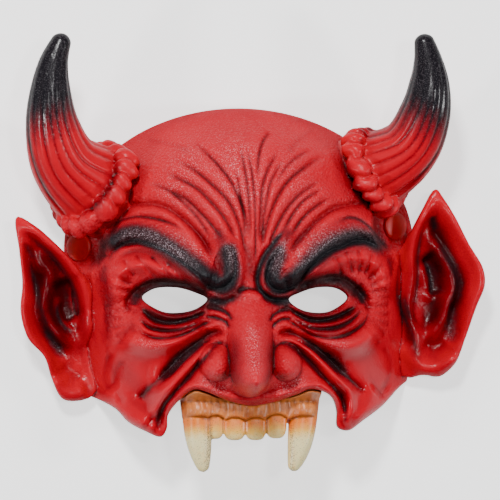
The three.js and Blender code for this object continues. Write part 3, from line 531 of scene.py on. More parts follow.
# A closed block with a modelled top and a flat underside.
def block(name, x, y, top, floor):
    rows, columns = x.shape
    points = np.stack([x, y, top], -1).reshape(-1, 3)
    under = points.copy()
    under[:, 2] = floor
    index = np.arange(rows * columns).reshape(rows, columns)
    quads = np.stack([index[:-1, :-1], index[:-1, 1:], index[1:, 1:], index[1:, :-1]], -1).reshape(-1, 4)
    border = np.concatenate([index[0, :], index[1:, -1], index[-1, -2::-1], index[-2:0:-1, 0]])
    after = np.roll(border, -1)
    total = rows * columns
    faces = quads.tolist() + (quads[:, ::-1] + total).tolist()
    faces += np.stack([border, border + total, after + total, after], -1).tolist()
    return meshPiece(name, np.vstack([points, under]), faces)


def faceBlock(name, cells, heightAt, floor, margin=0.0):
    v, u = np.meshgrid(np.linspace(-1, 1, cells + 1), np.linspace(-1, 1, cells + 1), indexing="ij")
    x, y = facePlace(u, v, margin)
    return block(name, x, y, heightAt(x, y), floor)


# The inside of the wall is what is left when a ball as wide as the wall rolls along under the surface.
def insideHeights():
    step = 0.75
    reach = maskShape["wall"]
    xs, ys = np.arange(-102, 102.1, step), np.arange(-104, 76.1, step)
    gx, gy = np.meshgrid(xs, ys)
    inside = blankHeight(gx, gy) > 0.05
    outer = np.where(inside, outerHeight(gx, gy), -6.0)
    lowest = outer - reach
    cells = int(reach / step)
    for i in range(-cells, cells + 1):
        for j in range(-cells, cells + 1):
            apart = math.hypot(i, j) * step
            if 0 < apart < reach + 0.1:
                moved = np.roll(outer, (i, j), (0, 1)) - math.sqrt(max(0, reach * reach - apart * apart))
                lowest = np.minimum(lowest, moved)

    def heightAt(x, y):
        fx = np.clip((x - xs[0]) / step, 0, len(xs) - 1.001)
        fy = np.clip((y - ys[0]) / step, 0, len(ys) - 1.001)
        i, j = fx.astype(int), fy.astype(int)
        fx, fy = fx - i, fy - j
        low = lowest[j, i] * (1 - fx) + lowest[j, i + 1] * fx
        high = lowest[j + 1, i] * (1 - fx) + lowest[j + 1, i + 1] * fx
        return low * (1 - fy) + high * fy
    return heightAt


hornShape = {
    "left": {
        "path": [(-58, 22, 10), (-74, 31, 19), (-87, 43, 29), (-93, 60, 36), (-94, 76, 40),
            (-92.4, 90, 42), (-87.4, 103.6, 43)],
        "radii": [20, 21.4, 16.4, 12.8, 9.8, 7, 4],
    },
    "right": {
        "path": [(51, 34.5, 10), (66.5, 39.5, 18), (81, 50.5, 28), (87.6, 67, 36), (89, 81, 40),
            (88, 92, 42), (85.2, 104.2, 43)],
        "radii": [18.4, 18.6, 14.6, 12.2, 9.6, 6.8, 4],
    },
    "flutes": 17, "fluteDepth": 0.15, "twist": 0.35, "wall": 3.2, "hollowTo": 0.78,
}


# The way a line runs at each of its points, and the two directions square to it.
def squareTo(middle):
    ahead = np.gradient(middle, axis=0)
    ahead /= np.linalg.norm(ahead, axis=1)[:, None]
    sideways = np.cross(ahead, (0, 0, 1))
    sideways /= np.linalg.norm(sideways, axis=1)[:, None]
    return ahead, sideways, np.cross(sideways, ahead)


def ringsRound(middle, sideways, raised, radius, angle, flat=1.0):
    across = np.cos(angle)[..., None] * sideways[:, None]
    upward = flat * np.sin(angle)[..., None] * raised[:, None]
    return middle[:, None] + radius[..., None] * (across + upward)


def hornFrame(path, shares):
    middle = curvePoints(path, shares)
    return middle, *squareTo(middle)


def radiusAlong(radii, shares):
    return np.interp(np.asarray(shares) * (len(radii) - 1), np.arange(len(radii)), radii)


# How deep in a flute a place on a horn is, from 0 on a ridge to 1 at the bottom of a flute.
def hornGroove(along, angle):
    wander = 0.22 * np.sin(3 * angle + 2.1 * along) + 0.13 * np.sin(5 * angle - 4 * along + 1.3)
    turn = hornShape["flutes"] * (angle + wander / 3 + hornShape["twist"] * along) / 2
    uneven = 0.72 + 0.28 * np.sin(4 * angle + 1.7) * np.cos(7 * angle + 5 * along)
    return (1 - np.abs(np.sin(turn))) ** 2.6 * uneven


def hornPiece(name, shape):
    shares = np.sin(np.linspace(0, 1, 150) * math.pi / 2)
    middle, _, sideways, raised = hornFrame(shape["path"], shares)
    angle = np.linspace(0, 2 * math.pi, 300, endpoint=False)[None, :]
    along = shares[:, None]
    tip = np.clip(1 - (np.clip(along - 0.95, 0, 1) / 0.05) ** 2, 0, 1)
    radius = radiusAlong(shape["radii"], shares)[:, None] * np.minimum(1, np.sqrt(tip) + 0.05)
    shown = smoothStep(along, 0.1, 0.26) * (1 - 0.9 * smoothStep(along, 0.88, 1.0))
    fine = 0.012 * np.sin(41 * angle + 5 * along) * np.sin(23 * angle + 2) * shown
    radius = radius * (1.02 - hornShape["fluteDepth"] * hornGroove(along, angle) * shown + fine)
    return tube(name, ringsRound(middle, sideways, raised, radius, angle))


def hornHollow(name, shape):
    path = shape["path"]
    first = curvePoints(path, [0.0, 0.01])
    start = first[0] - 14 * (first[1] - first[0]) / np.linalg.norm(first[1] - first[0])
    points = np.vstack([start, curvePoints(path, np.linspace(0, hornShape["hollowTo"], 6))])
    shares = np.linspace(0, 1, 30)
    middle, _, sideways, raised = hornFrame(points, shares)
    outside = radiusAlong(shape["radii"], np.maximum(0, shares * 1.17 - 0.17) * hornShape["hollowTo"])
    radius = np.maximum(1.5, outside * 0.9 - hornShape["wall"])[:, None]
    angle = np.linspace(0, 2 * math.pi, 24, endpoint=False)[None, :]
    return tube(name, ringsRound(middle, sideways, raised, radius, angle))


collarShape = {"radius": 5.3, "clear": 3.6, "tuck": 5.4, "lumps": 19, "along": 0.165}


# Knotted roll round a horn's root: fat lumps with a puckered seam between them.
def collarPiece(name, shape, seed):
    c = collarShape
    at = np.array([c["along"] - 0.01, c["along"], c["along"] + 0.01])
    middle, ahead, sideways, raised = [part[1] for part in hornFrame(shape["path"], at)]
    ring = float(radiusAlong(shape["radii"], c["along"])) + c["clear"]
    turns, sides = 360, 48
    turn = np.linspace(0, 2 * math.pi, turns, endpoint=False)
    outward = np.cos(turn)[:, None] * sideways + np.sin(turn)[:, None] * raised
    phase = turn * c["lumps"] / 2 + 0.5 * np.sin(3 * turn + seed) + 0.3 * np.sin(5 * turn)
    size = 1 + 0.10 * np.sin(turn * c["lumps"] / 3.1 + seed) + 0.06 * np.sin(7 * turn + seed)
    reach = ring - c["tuck"] * (1 - smoothStep(np.sin(turn), -0.2, 0.8))
    angle = np.linspace(0, 2 * math.pi, sides, endpoint=False)[None, :]
    lean = 0.35 * np.cos(angle + seed) + 0.25 * np.sin(2 * angle)
    knot = (1 - np.abs(np.sin(phase[:, None] + lean))) ** 1.5
    pucker = 1 - 0.10 * (1 - np.abs(np.sin(2.5 * phase[:, None] + 3 * angle))) ** 3
    lump = (c["radius"] * size)[:, None] * pucker * (1.05 - 0.50 * knot) * (1 - 0.08 * np.cos(2 * angle))
    lean = 0.4 * np.sin(phase * 2)[:, None] * np.cos(angle)
    rings = (middle + outward[:, None] * (reach[:, None] + lump * np.cos(angle))[..., None]
             + ahead * (lump * np.sin(angle) + lean)[..., None])
    points = rings.reshape(-1, 3)
    faces = []
    for j in range(turns):
        after = (j + 1) % turns * sides
        for i in range(sides):
            beside = (i + 1) % sides
            faces.append((j * sides + i, j * sides + beside, after + beside, after + i))
    return meshPiece(name, points, faces)


earShape = {
    "left": {
        "outline": [(-110, 16.5), (-101, 12), (-88.5, 1), (-78.8, -9.7), (-71.5, -21), (-67, -33),
            (-67, -46), (-69, -60), (-72, -71), (-79, -73.7), (-87, -72.7), (-92.3, -63), (-96, -52),
            (-104, -43), (-107.8, -30), (-107, -16), (-108.6, 0)],
        "hollow": (-84, -33), "lift": 15,
    },
    "right": {
        "outline": [(94.7, 30.3), (99, 25), (104, 16.5), (111, 2.9), (118, -9), (119, -17), (115, -28),
            (110, -43), (105, -56), (98, -62.4), (90, -61.6), (82, -63), (75, -54), (72.5, -38),
            (72, -22), (76, -5), (82, 8), (88, 20)],
        "hollow": (93, -19), "lift": 15,
    },
    "thickness": 4, "leanOut": 0.16, "leanUp": 0.12, "dish": 6.6, "rimRound": 2.6,
}
earFolds = {
    "left": {
        "frontRim": ([(-110.2, 14.1), (-102.9, 10.2), (-95.2, 3.9), (-87.9, -1.5), (-82.6, -8.2),
            (-78.7, -15), (-76.2, -22.8), (-75.3, -30.6), (-74.8, -39.3), (-74.8, -47.1)], 8, 4.9),
        "frontEdge": ([(-106.3, 8.2), (-101.9, 5.8), (-97.1, 1), (-91.8, -4.4), (-86.9, -10.7),
            (-83, -16.5), (-80.6, -23.3), (-79.6, -30.6), (-78.7, -39.3)], -4.2, 1.8),
        "outerRim": ([(-110.2, 12.6), (-108.2, 1.5), (-106.8, -11.1), (-106.8, -22.8), (-107.3, -30.5),
            (-104.9, -39.3), (-99.5, -47.5), (-94.2, -55.3), (-91.3, -65)], 4.4, 3.6),
        "outerHollow": ([(-105.8, 4.8), (-103.9, -3.9), (-101.5, -13.1), (-99.5, -22.8), (-98.6, -30.5),
            (-94.7, -38.8), (-89.8, -46.6), (-85, -53.4)], -5, 3.4),
        "innerRoll": ([(-102.4, 0), (-98.1, -6.3), (-94.2, -11.2), (-93.7, -16.5), (-96.1, -23.3),
            (-96.6, -30.1), (-93.7, -36.4), (-87.9, -42.7), (-80.6, -46.6)], 5.6, 3.2),
        "innerRidge": ([(-87.9, -22.8), (-89.3, -27.6), (-87.4, -33), (-83.5, -37.4),
            (-79.2, -40.3)], 2.2, 1.7),
        "innerGroove": ([(-85.9, -24.7), (-86.9, -29.1), (-85, -34), (-81.1, -37.8),
            (-77.7, -39.3)], -2.4, 1.8),
        "bowl": ([(-87.4, -13.1), (-85, -20.4), (-83.5, -28.1), (-81.1, -34.4)], -6, 6),
        "lobe": ([(-90.5, -61), (-87.5, -67), (-81, -69.5), (-75.5, -67)], 4.4, 5),
        "lobeDip": ([(-87, -55), (-82, -60), (-77, -62)], -1.6, 3.2),
        "headCrease": ([(-79.6, -5.8), (-73.3, -13.1), (-68.5, -20.9), (-66.5, -29.1),
            (-67.5, -38.8)], -3, 1.6),
    },
    "right": {
        "frontRim": ([(94.4, 27.9), (90.5, 20), (86.6, 12.7), (83.6, 4.4), (83.1, -4.4), (84.1, -11.2),
            (83.1, -18.6), (82.1, -25.4), (83.6, -33.2), (85.6, -39.1), (86.6, -46.9),
            (88.5, -54.7)], 7.4, 4.4),
        "frontEdge": ([(93.9, 18.6), (91, 13.2), (88, 5.9), (86.6, -2.4), (87, -10.8), (87, -18.1),
            (85.6, -26.9), (85.6, -33.2), (89.5, -39.1)], -4.2, 1.8),
        "outerRim": ([(95.9, 27.9), (101.8, 18.1), (106.8, 8.3), (113.2, -1.5), (116.6, -9.8),
            (117.1, -16.6), (114.2, -24.5), (110.7, -35.2), (107.7, -45.5), (103.3, -54.3),
            (97.4, -58.2)], 4.8, 3.8),
        "outerHollow": ([(93.4, 16.1), (95.9, 8.8), (99.9, 0.5), (103.8, -6.8), (106.8, -15.2),
            (106.8, -23), (105.3, -30.3), (103.8, -39.1), (101.8, -46)], -5.4, 3.6),
        "innerRoll": ([(93, 7.8), (97.4, -1), (101.3, -6.8), (104.3, -14.2), (103.8, -21), (100.8, -26.4),
            (98.9, -33.2), (94.4, -40.6), (91.5, -45)], 6.2, 3.2),
        "innerRidge": ([(89.5, -6.8), (92, -14.7), (93, -25.9)], 2, 1.8),
        "innerGroove": ([(89.5, -3.4), (92.5, -8.3), (93.9, -14.7), (94.4, -23)], -3, 2),
        "bowl": ([(91, -1), (94.4, -7.8), (96.4, -14.7), (96.4, -22.5)], -5.4, 5.2),
        "lobe": ([(81, -44), (84, -53), (91, -57.5), (99, -55.5), (103, -49)], 4.6, 4.4),
        "lobeDip": ([(90, -45), (96, -47.5), (101, -44)], -1.6, 3),
        "headCrease": ([(80.6, 8.8), (79.7, 2), (77.7, -7.3), (75.7, -16.1), (76.2, -23), (79.7, -31.8),
            (83.1, -38.6)], -3, 1.6),
    },
}


def earPiece(name, side):
    shape = earShape[side]
    around, rings = 320, 70
    dense = curvePoints(shape["outline"], np.arange(1200) / 1200, closed=True)
    steps = np.linalg.norm(np.roll(dense, -1, 0) - dense, axis=1)
    length = np.concatenate([[0], np.cumsum(steps)])
    places = np.linspace(0, length[-1], around, endpoint=False)
    closed = np.vstack([dense, dense[:1]])
    edge = np.stack([np.interp(places, length, closed[:, k]) for k in (0, 1)], -1)
    if np.sum(edge[:, 0] * np.roll(edge[:, 1], -1) - np.roll(edge[:, 0], -1) * edge[:, 1]) < 0:
        edge = edge[::-1]
    cx, cy = shape["hollow"]
    out = (np.linspace(1, 0.02, rings) ** 0.8)[:, None]
    x = cx + (edge[None, :, 0] - cx) * out
    y = cy + (edge[None, :, 1] - cy) * out
    standing = shape["lift"] + earShape["leanOut"] * (np.abs(x) - abs(cx)) + earShape["leanUp"] * (y - cy)
    gap = insideBy(x, y, edge[::4])
    front = standing - earShape["dish"] * (1 - out ** 2.2) ** 1.5
    for line, height, width in earFolds[side].values():
        front = front + foldHeight(x, y, line, height, width, 0.16)
    front = np.where(front < 6, 4.4 + 1.6 * np.exp((np.minimum(front, 6) - 6) / 1.6), front)
    near = np.clip(1 - np.maximum(gap, 0) / earShape["rimRound"], 0, 1)
    free = np.maximum(smoothStep(np.abs(x), 73, 79), smoothStep(y, -45, -30))
    front = front - 1.8 * free * (1 - np.sqrt(np.maximum(0, 1 - near * near)))
    chosen = np.unique(np.round(np.linspace(2, rings - 1, 16)).astype(int))
    sink = np.interp(out[chosen, 0], [0, 0.45, 0.94, 1], [8.6, 5.4, 3.2, 2.2])[:, None]
    back = np.minimum(standing[chosen] - sink, front[chosen] - earShape["thickness"] * 0.62)
    loops = [np.stack([x[k], y[k], front[k]], -1) for k in range(rings)][::-1]
    loops += [np.stack([x[k], y[k], back[n]], -1) for n, k in enumerate(chosen)]
    return tube(name, loops)


# Brings the evened surface back onto the modelled face, so that its creases stay crisp.
def settleOnFace(points, normals):
    x, y, z = points.T
    front = np.flatnonzero((normals[:, 2] > 0.25) & (z > 2))
    there = outerHeight(x[front], y[front])
    gap = there - z[front]
    share = 1 - smoothStep(np.where(gap > 0, gap * 0.55, -gap), 0.8, 1.5)
    points[front, 2] += gap * share
    return points


def maskPiece():
    m = maskShape
    outer = faceBlock("outer", m["cells"][0], lambda x, y: np.maximum(outerHeight(x, y), 0.6), -5.0)
    cutAway(outer, prism("jaw", jawOutline))
    parts = [outer]
    for number, side in enumerate(("left", "right")):
        parts.append(hornPiece("horn", hornShape[side]))
        parts.append(collarPiece("collar", hornShape[side], 3 + number))
        parts.append(earPiece("ear", side))
    whole = joinAll(parts, "mask")
    print("parts of the mask joined", len(whole.data.vertices))
    remesh(whole, m["voxel"])
    print("even surface", len(whole.data.vertices))
    points = evenOut(pointsOf(whole), edgesOf(whole), *m["even"])
    calm = evenOut(points, edgesOf(whole), *m["evenEars"])
    atEar = (np.abs(points[:, 0]) > 75) & (points[:, 1] < 32)
    points = settleOnFace(np.where(atEar[:, None], calm, points), normalsOf(whole))
    whole.data.vertices.foreach_set("co", points.ravel())
    inner = insideHeights()
    cutAway(whole, faceBlock("inner", m["cells"][1], lambda x, y: np.maximum(inner(x, y), -3), -14.0, 3.0))
    for side in ("left", "right"):
        cutAway(whole, hornHollow("hollow", hornShape[side]))
    for outline in eyeOutlines:
        cutAway(whole, prism("opening", outline))
    for place in studPlaces:
        cutAway(whole, turnedPiece("studHole", studHoleProfile(), place, 48))
    cutAway(whole, prism("floorCut", [(-200, -200), (200, -200), (200, 200), (-200, 200)], -60, 0))
    print("hollow cut", len(whole.data.vertices))
    return whole


studShape = {"cap": 6.85, "capHeight": 2.0, "shaft": 2.0, "washer": 5.2, "washerHeight": 1.4, "gap": 0.35}


# Outline of the hole that a stud sits in, from its back to its front.
def studHoleProfile():
    s, wall = studShape, maskShape["wall"]
    washer, shaft = s["washer"] + s["gap"], s["shaft"] + s["gap"]
    return [(0, -wall - 6), (washer, -wall - 6), (washer, -wall), (shaft, -wall), (shaft, 0),
            (s["cap"] + 0.3, 0), (s["cap"] + 0.9, 6), (0, 6)]


# Lathe work about the Z axis, tilted and set down at a stud's place.
def turnedPiece(name, profile, place, sides):
    x, y, z, slope = place
    angle = np.linspace(0, 2 * math.pi, sides, endpoint=False)
    profile = np.asarray(profile, float)
    radius, height = profile[1:-1, 0], profile[1:-1, 1]
    points = np.stack([radius[:, None] * np.cos(angle), radius[:, None] * np.sin(angle),
                       np.repeat(height[:, None], sides, 1)], -1).reshape(-1, 3)
    points = np.vstack([points, (0, 0, profile[0, 1]), (0, 0, profile[-1, 1])])
    rows = len(radius)
    faces = []
    for i in range(sides):
        after = (i + 1) % sides
        for j in range(rows - 1):
            faces.append((j * sides + i, j * sides + after, (j + 1) * sides + after, (j + 1) * sides + i))
        faces.append((rows * sides, after, i))
        faces.append((rows * sides + 1, (rows - 1) * sides + i, (rows - 1) * sides + after))
    tilt = math.radians(slope) * (1 if x > 0 else -1)
    turned = points.copy()
    turned[:, 0] = points[:, 0] * math.cos(tilt) + points[:, 2] * math.sin(tilt)
    turned[:, 2] = -points[:, 0] * math.sin(tilt) + points[:, 2] * math.cos(tilt)
    return meshPiece(name, turned + (x, y, z), faces)


def studPiece(name, place):
    s = studShape
    front, behind = s["gap"], -maskShape["wall"] - s["gap"]
    back = behind - s["washerHeight"]
    profile = [
        (0, back), (s["washer"] - 0.4, back), (s["washer"], back + 0.4), (s["washer"], behind - 0.3),
        (s["washer"] - 0.3, behind), (s["shaft"], behind), (s["shaft"], front), (s["cap"] - 0.5, front),
        (s["cap"] - 0.1, front + 0.2), (s["cap"], front + 0.6), (s["cap"] - 0.25, front + 1.15),
        (s["cap"] - 0.8, front + 1.5), (s["cap"] * 0.7, front + s["capHeight"] * 0.86),
        (s["cap"] * 0.45, front + s["capHeight"] * 0.95), (s["cap"] * 0.2, front + s["capHeight"] * 0.99),
        (0, front + s["capHeight"]),
    ]
    return turnedPiece(name, profile, place, 72)


teethShape = {
    "half": 35, "narrowing": 3, "middle": 50, "sweep": 6, "top": -60, "bottom": -83.5,
    "thickness": 5, "centre": 1.6, "gap": 0.6, "voxel": 0.42, "triangles": 90000,
    "incisors": [  # middle, width, gum line and edge of each
        (-15.6, 9.0, -79.3, -90.6), (-6.1, 10.6, -80.4, -91.2), (4.0, 10.2, -80.4, -91.2),
        (13.9, 10.0, -79.0, -90.4),
    ],
    "fangGum": -79.6,
    "fangs": [
        {"root": (-23.8, -71, 44), "bend": (-24.2, -92, 46.5), "tip": (-20.6, -106.3, 48), "radius": 6.7},
        {"root": (27.6, -71, 44), "bend": (27.4, -92, 46.5), "tip": (21.4, -106, 48), "radius": 6.7},
    ],
    "roots": [  # bulges of the gum over the teeth: middle, height and width of each
        (-23.8, 5.6, 6.4), (27.6, 5.6, 6.4), (-15.6, 0.7, 3.6), (-6, 0.7, 4), (4, 0.7, 4), (14, 0.7, 4),
    ],
}


# The height up the face at which the gum gives way to the teeth: an arch over every tooth.
def gumLine(x):
    t = teethShape
    places = [(cx, wide / 2, top, 1.9) for cx, wide, top, bottom in t["incisors"]]
    places += [(fang["root"][0], 6.6, t["fangGum"], 1.3) for fang in t["fangs"]]
    reach = np.stack([np.abs(x - cx) / half for cx, half, top, drop in places])
    nearest = np.argmin(reach, axis=0)
    share = np.minimum(reach.min(axis=0), 1.15)
    tops, drops = np.array([p[2] for p in places]), np.array([p[3] for p in places])
    return tops[nearest] - drops[nearest] * share ** 2.4


def gumPiece(inner):
    t = teethShape
    across, up = np.meshgrid(np.linspace(-1, 1, 240), np.linspace(0, 1, 110))
    y = t["bottom"] + (t["top"] - t["bottom"]) * up
    x = t["centre"] + across * (t["half"] - t["narrowing"] * (1 - up))
    arch = t["middle"] - t["sweep"] * across ** 2
    front = arch + 2.5 + 12 * smoothStep(y, -73, -66)
    for cx, height, wide in t["roots"]:
        front = front + height * np.exp(-(np.abs((x - cx) / wide) ** 2.6) - ((y + 77) / 7.5) ** 2)
    front = front + 0.22 * np.sin(x * 1.9 + 0.8 * np.sin(y * 0.6)) * smoothStep(y, -66, -72)
    front = front + 0.14 * np.sin(x * 4.7 + np.sin(y * 1.1)) * smoothStep(y, -66, -72)
    front = front - 7.5 * smoothStep(gumLine(x) - y, -0.9, 0.8)
    front = front - 2.2 * smoothStep(np.abs(across), 0.93, 1.0)
    clear = smoothStep(insideBy(x, y, jawOutline), 0.3, 2.2)
    front = np.minimum(front, inner(x, y) - t["gap"] + 30 * clear)
    return block("gum", x, y, front, 0.0), arch


def incisorPiece(middle, wide, top, bottom):
    t = teethShape
    bpy.ops.mesh.primitive_uv_sphere_add(segments=40, ring_count=24)
    ball = bpy.context.object
    shape = pointsOf(ball)
    square = np.sign(shape) * np.abs(shape) ** 0.62
    arc = t["middle"] - t["sweep"] * ((middle - t["centre"]) / t["half"]) ** 2
    fall = 1 - 0.10 * np.clip(-square[:, 1], 0, 1) ** 2
    placed = np.stack([
        middle + square[:, 0] * wide / 2 * (0.92 + 0.1 * np.cos(square[:, 1] * 1.4)),
        bottom + (square[:, 1] * 0.5 + 0.5) * (top + 3.4 - bottom),
        arc - 1.9 + square[:, 2] * 3.0 * fall,
    ], -1)
    faces = [tuple(f.vertices) for f in ball.data.polygons]
    bpy.data.objects.remove(ball)
    return meshPiece("incisor", placed, faces)


def fangPiece(fang):
    share = np.linspace(0, 1, 60)[:, None]
    root, bend, tip = (np.array(fang[k], float) for k in ("root", "bend", "tip"))
    middle = root * (1 - share) ** 2 + 2 * bend * share * (1 - share) + tip * share ** 2
    _, sideways, raised = squareTo(middle)
    angle = np.linspace(0, 2 * math.pi, 48, endpoint=False)[None, :]
    radius = fang["radius"] * (1 - share ** 2.3) ** 0.8 * 0.8 + 1.75
    radius = radius * np.sqrt(np.clip(1 - (np.clip(share - 0.95, 0, 1) / 0.05) ** 2, 0.02, 1))
    radius = radius * (1 + 0.02 * np.sin(5 * angle + 6 * share))
    return tube("fang", ringsRound(middle, sideways, raised, radius, angle, 0.92))


def teethPiece():
    t = teethShape
    gum, arch = gumPiece(insideHeights())
    points = pointsOf(gum)
    count = len(points) // 2
    points[count:, 2] = np.minimum((arch - t["thickness"]).ravel(), points[:count, 2] - 0.8)
    gum.data.vertices.foreach_set("co", points.ravel())
    parts = [gum, *[incisorPiece(*place) for place in t["incisors"]]]
    parts += [fangPiece(fang) for fang in t["fangs"]]
    whole = joinAll(parts, "teethCast")
    remesh(whole, t["voxel"])
    points = evenOut(pointsOf(whole), edgesOf(whole), 3, 0.5)
    whole.data.vertices.foreach_set("co", points.ravel())
    return whole


# How hollow the surface is round each point, in mm, at a given scale.
def hollowness(piece, rounds):
    points = pointsOf(piece)
    smooth = evenOut(points, edgesOf(piece), rounds, 0.6)
    return np.einsum("ij,ij->i", smooth - points, normalsOf(piece))


# Layers of paint and of painted shade and highlight, each from 0 to 1 at every point, which the materials
# read by name.
def paintLayers(piece, **layers):
    for name, values in layers.items():
        layer = piece.data.attributes.new(name, "FLOAT", "POINT")
        layer.data.foreach_set("value", np.clip(values, 0, 1).astype(np.float32))


def stroke(x, y, line, width, firm):
    return alongForm(x, y, line, 1, width, firm, 2.6, (-0.02, 0.1 if firm > 2.4 else 0.3))


# How far a value is on its way to its full, times how much it counts.
def counted(value, full, weight):
    return np.clip(value / full, 0, 1) * weight


# Placed in the frame, in metres, smooth, riding on the mask's only body.
def finishPiece(piece, node):
    points = (pointsOf(piece) + faceShift) / 1000
    piece.data.vertices.foreach_set("co", points.ravel())
    piece.data.shade_smooth()
    piece.data.update()
    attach(piece, "root")
    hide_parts(node)
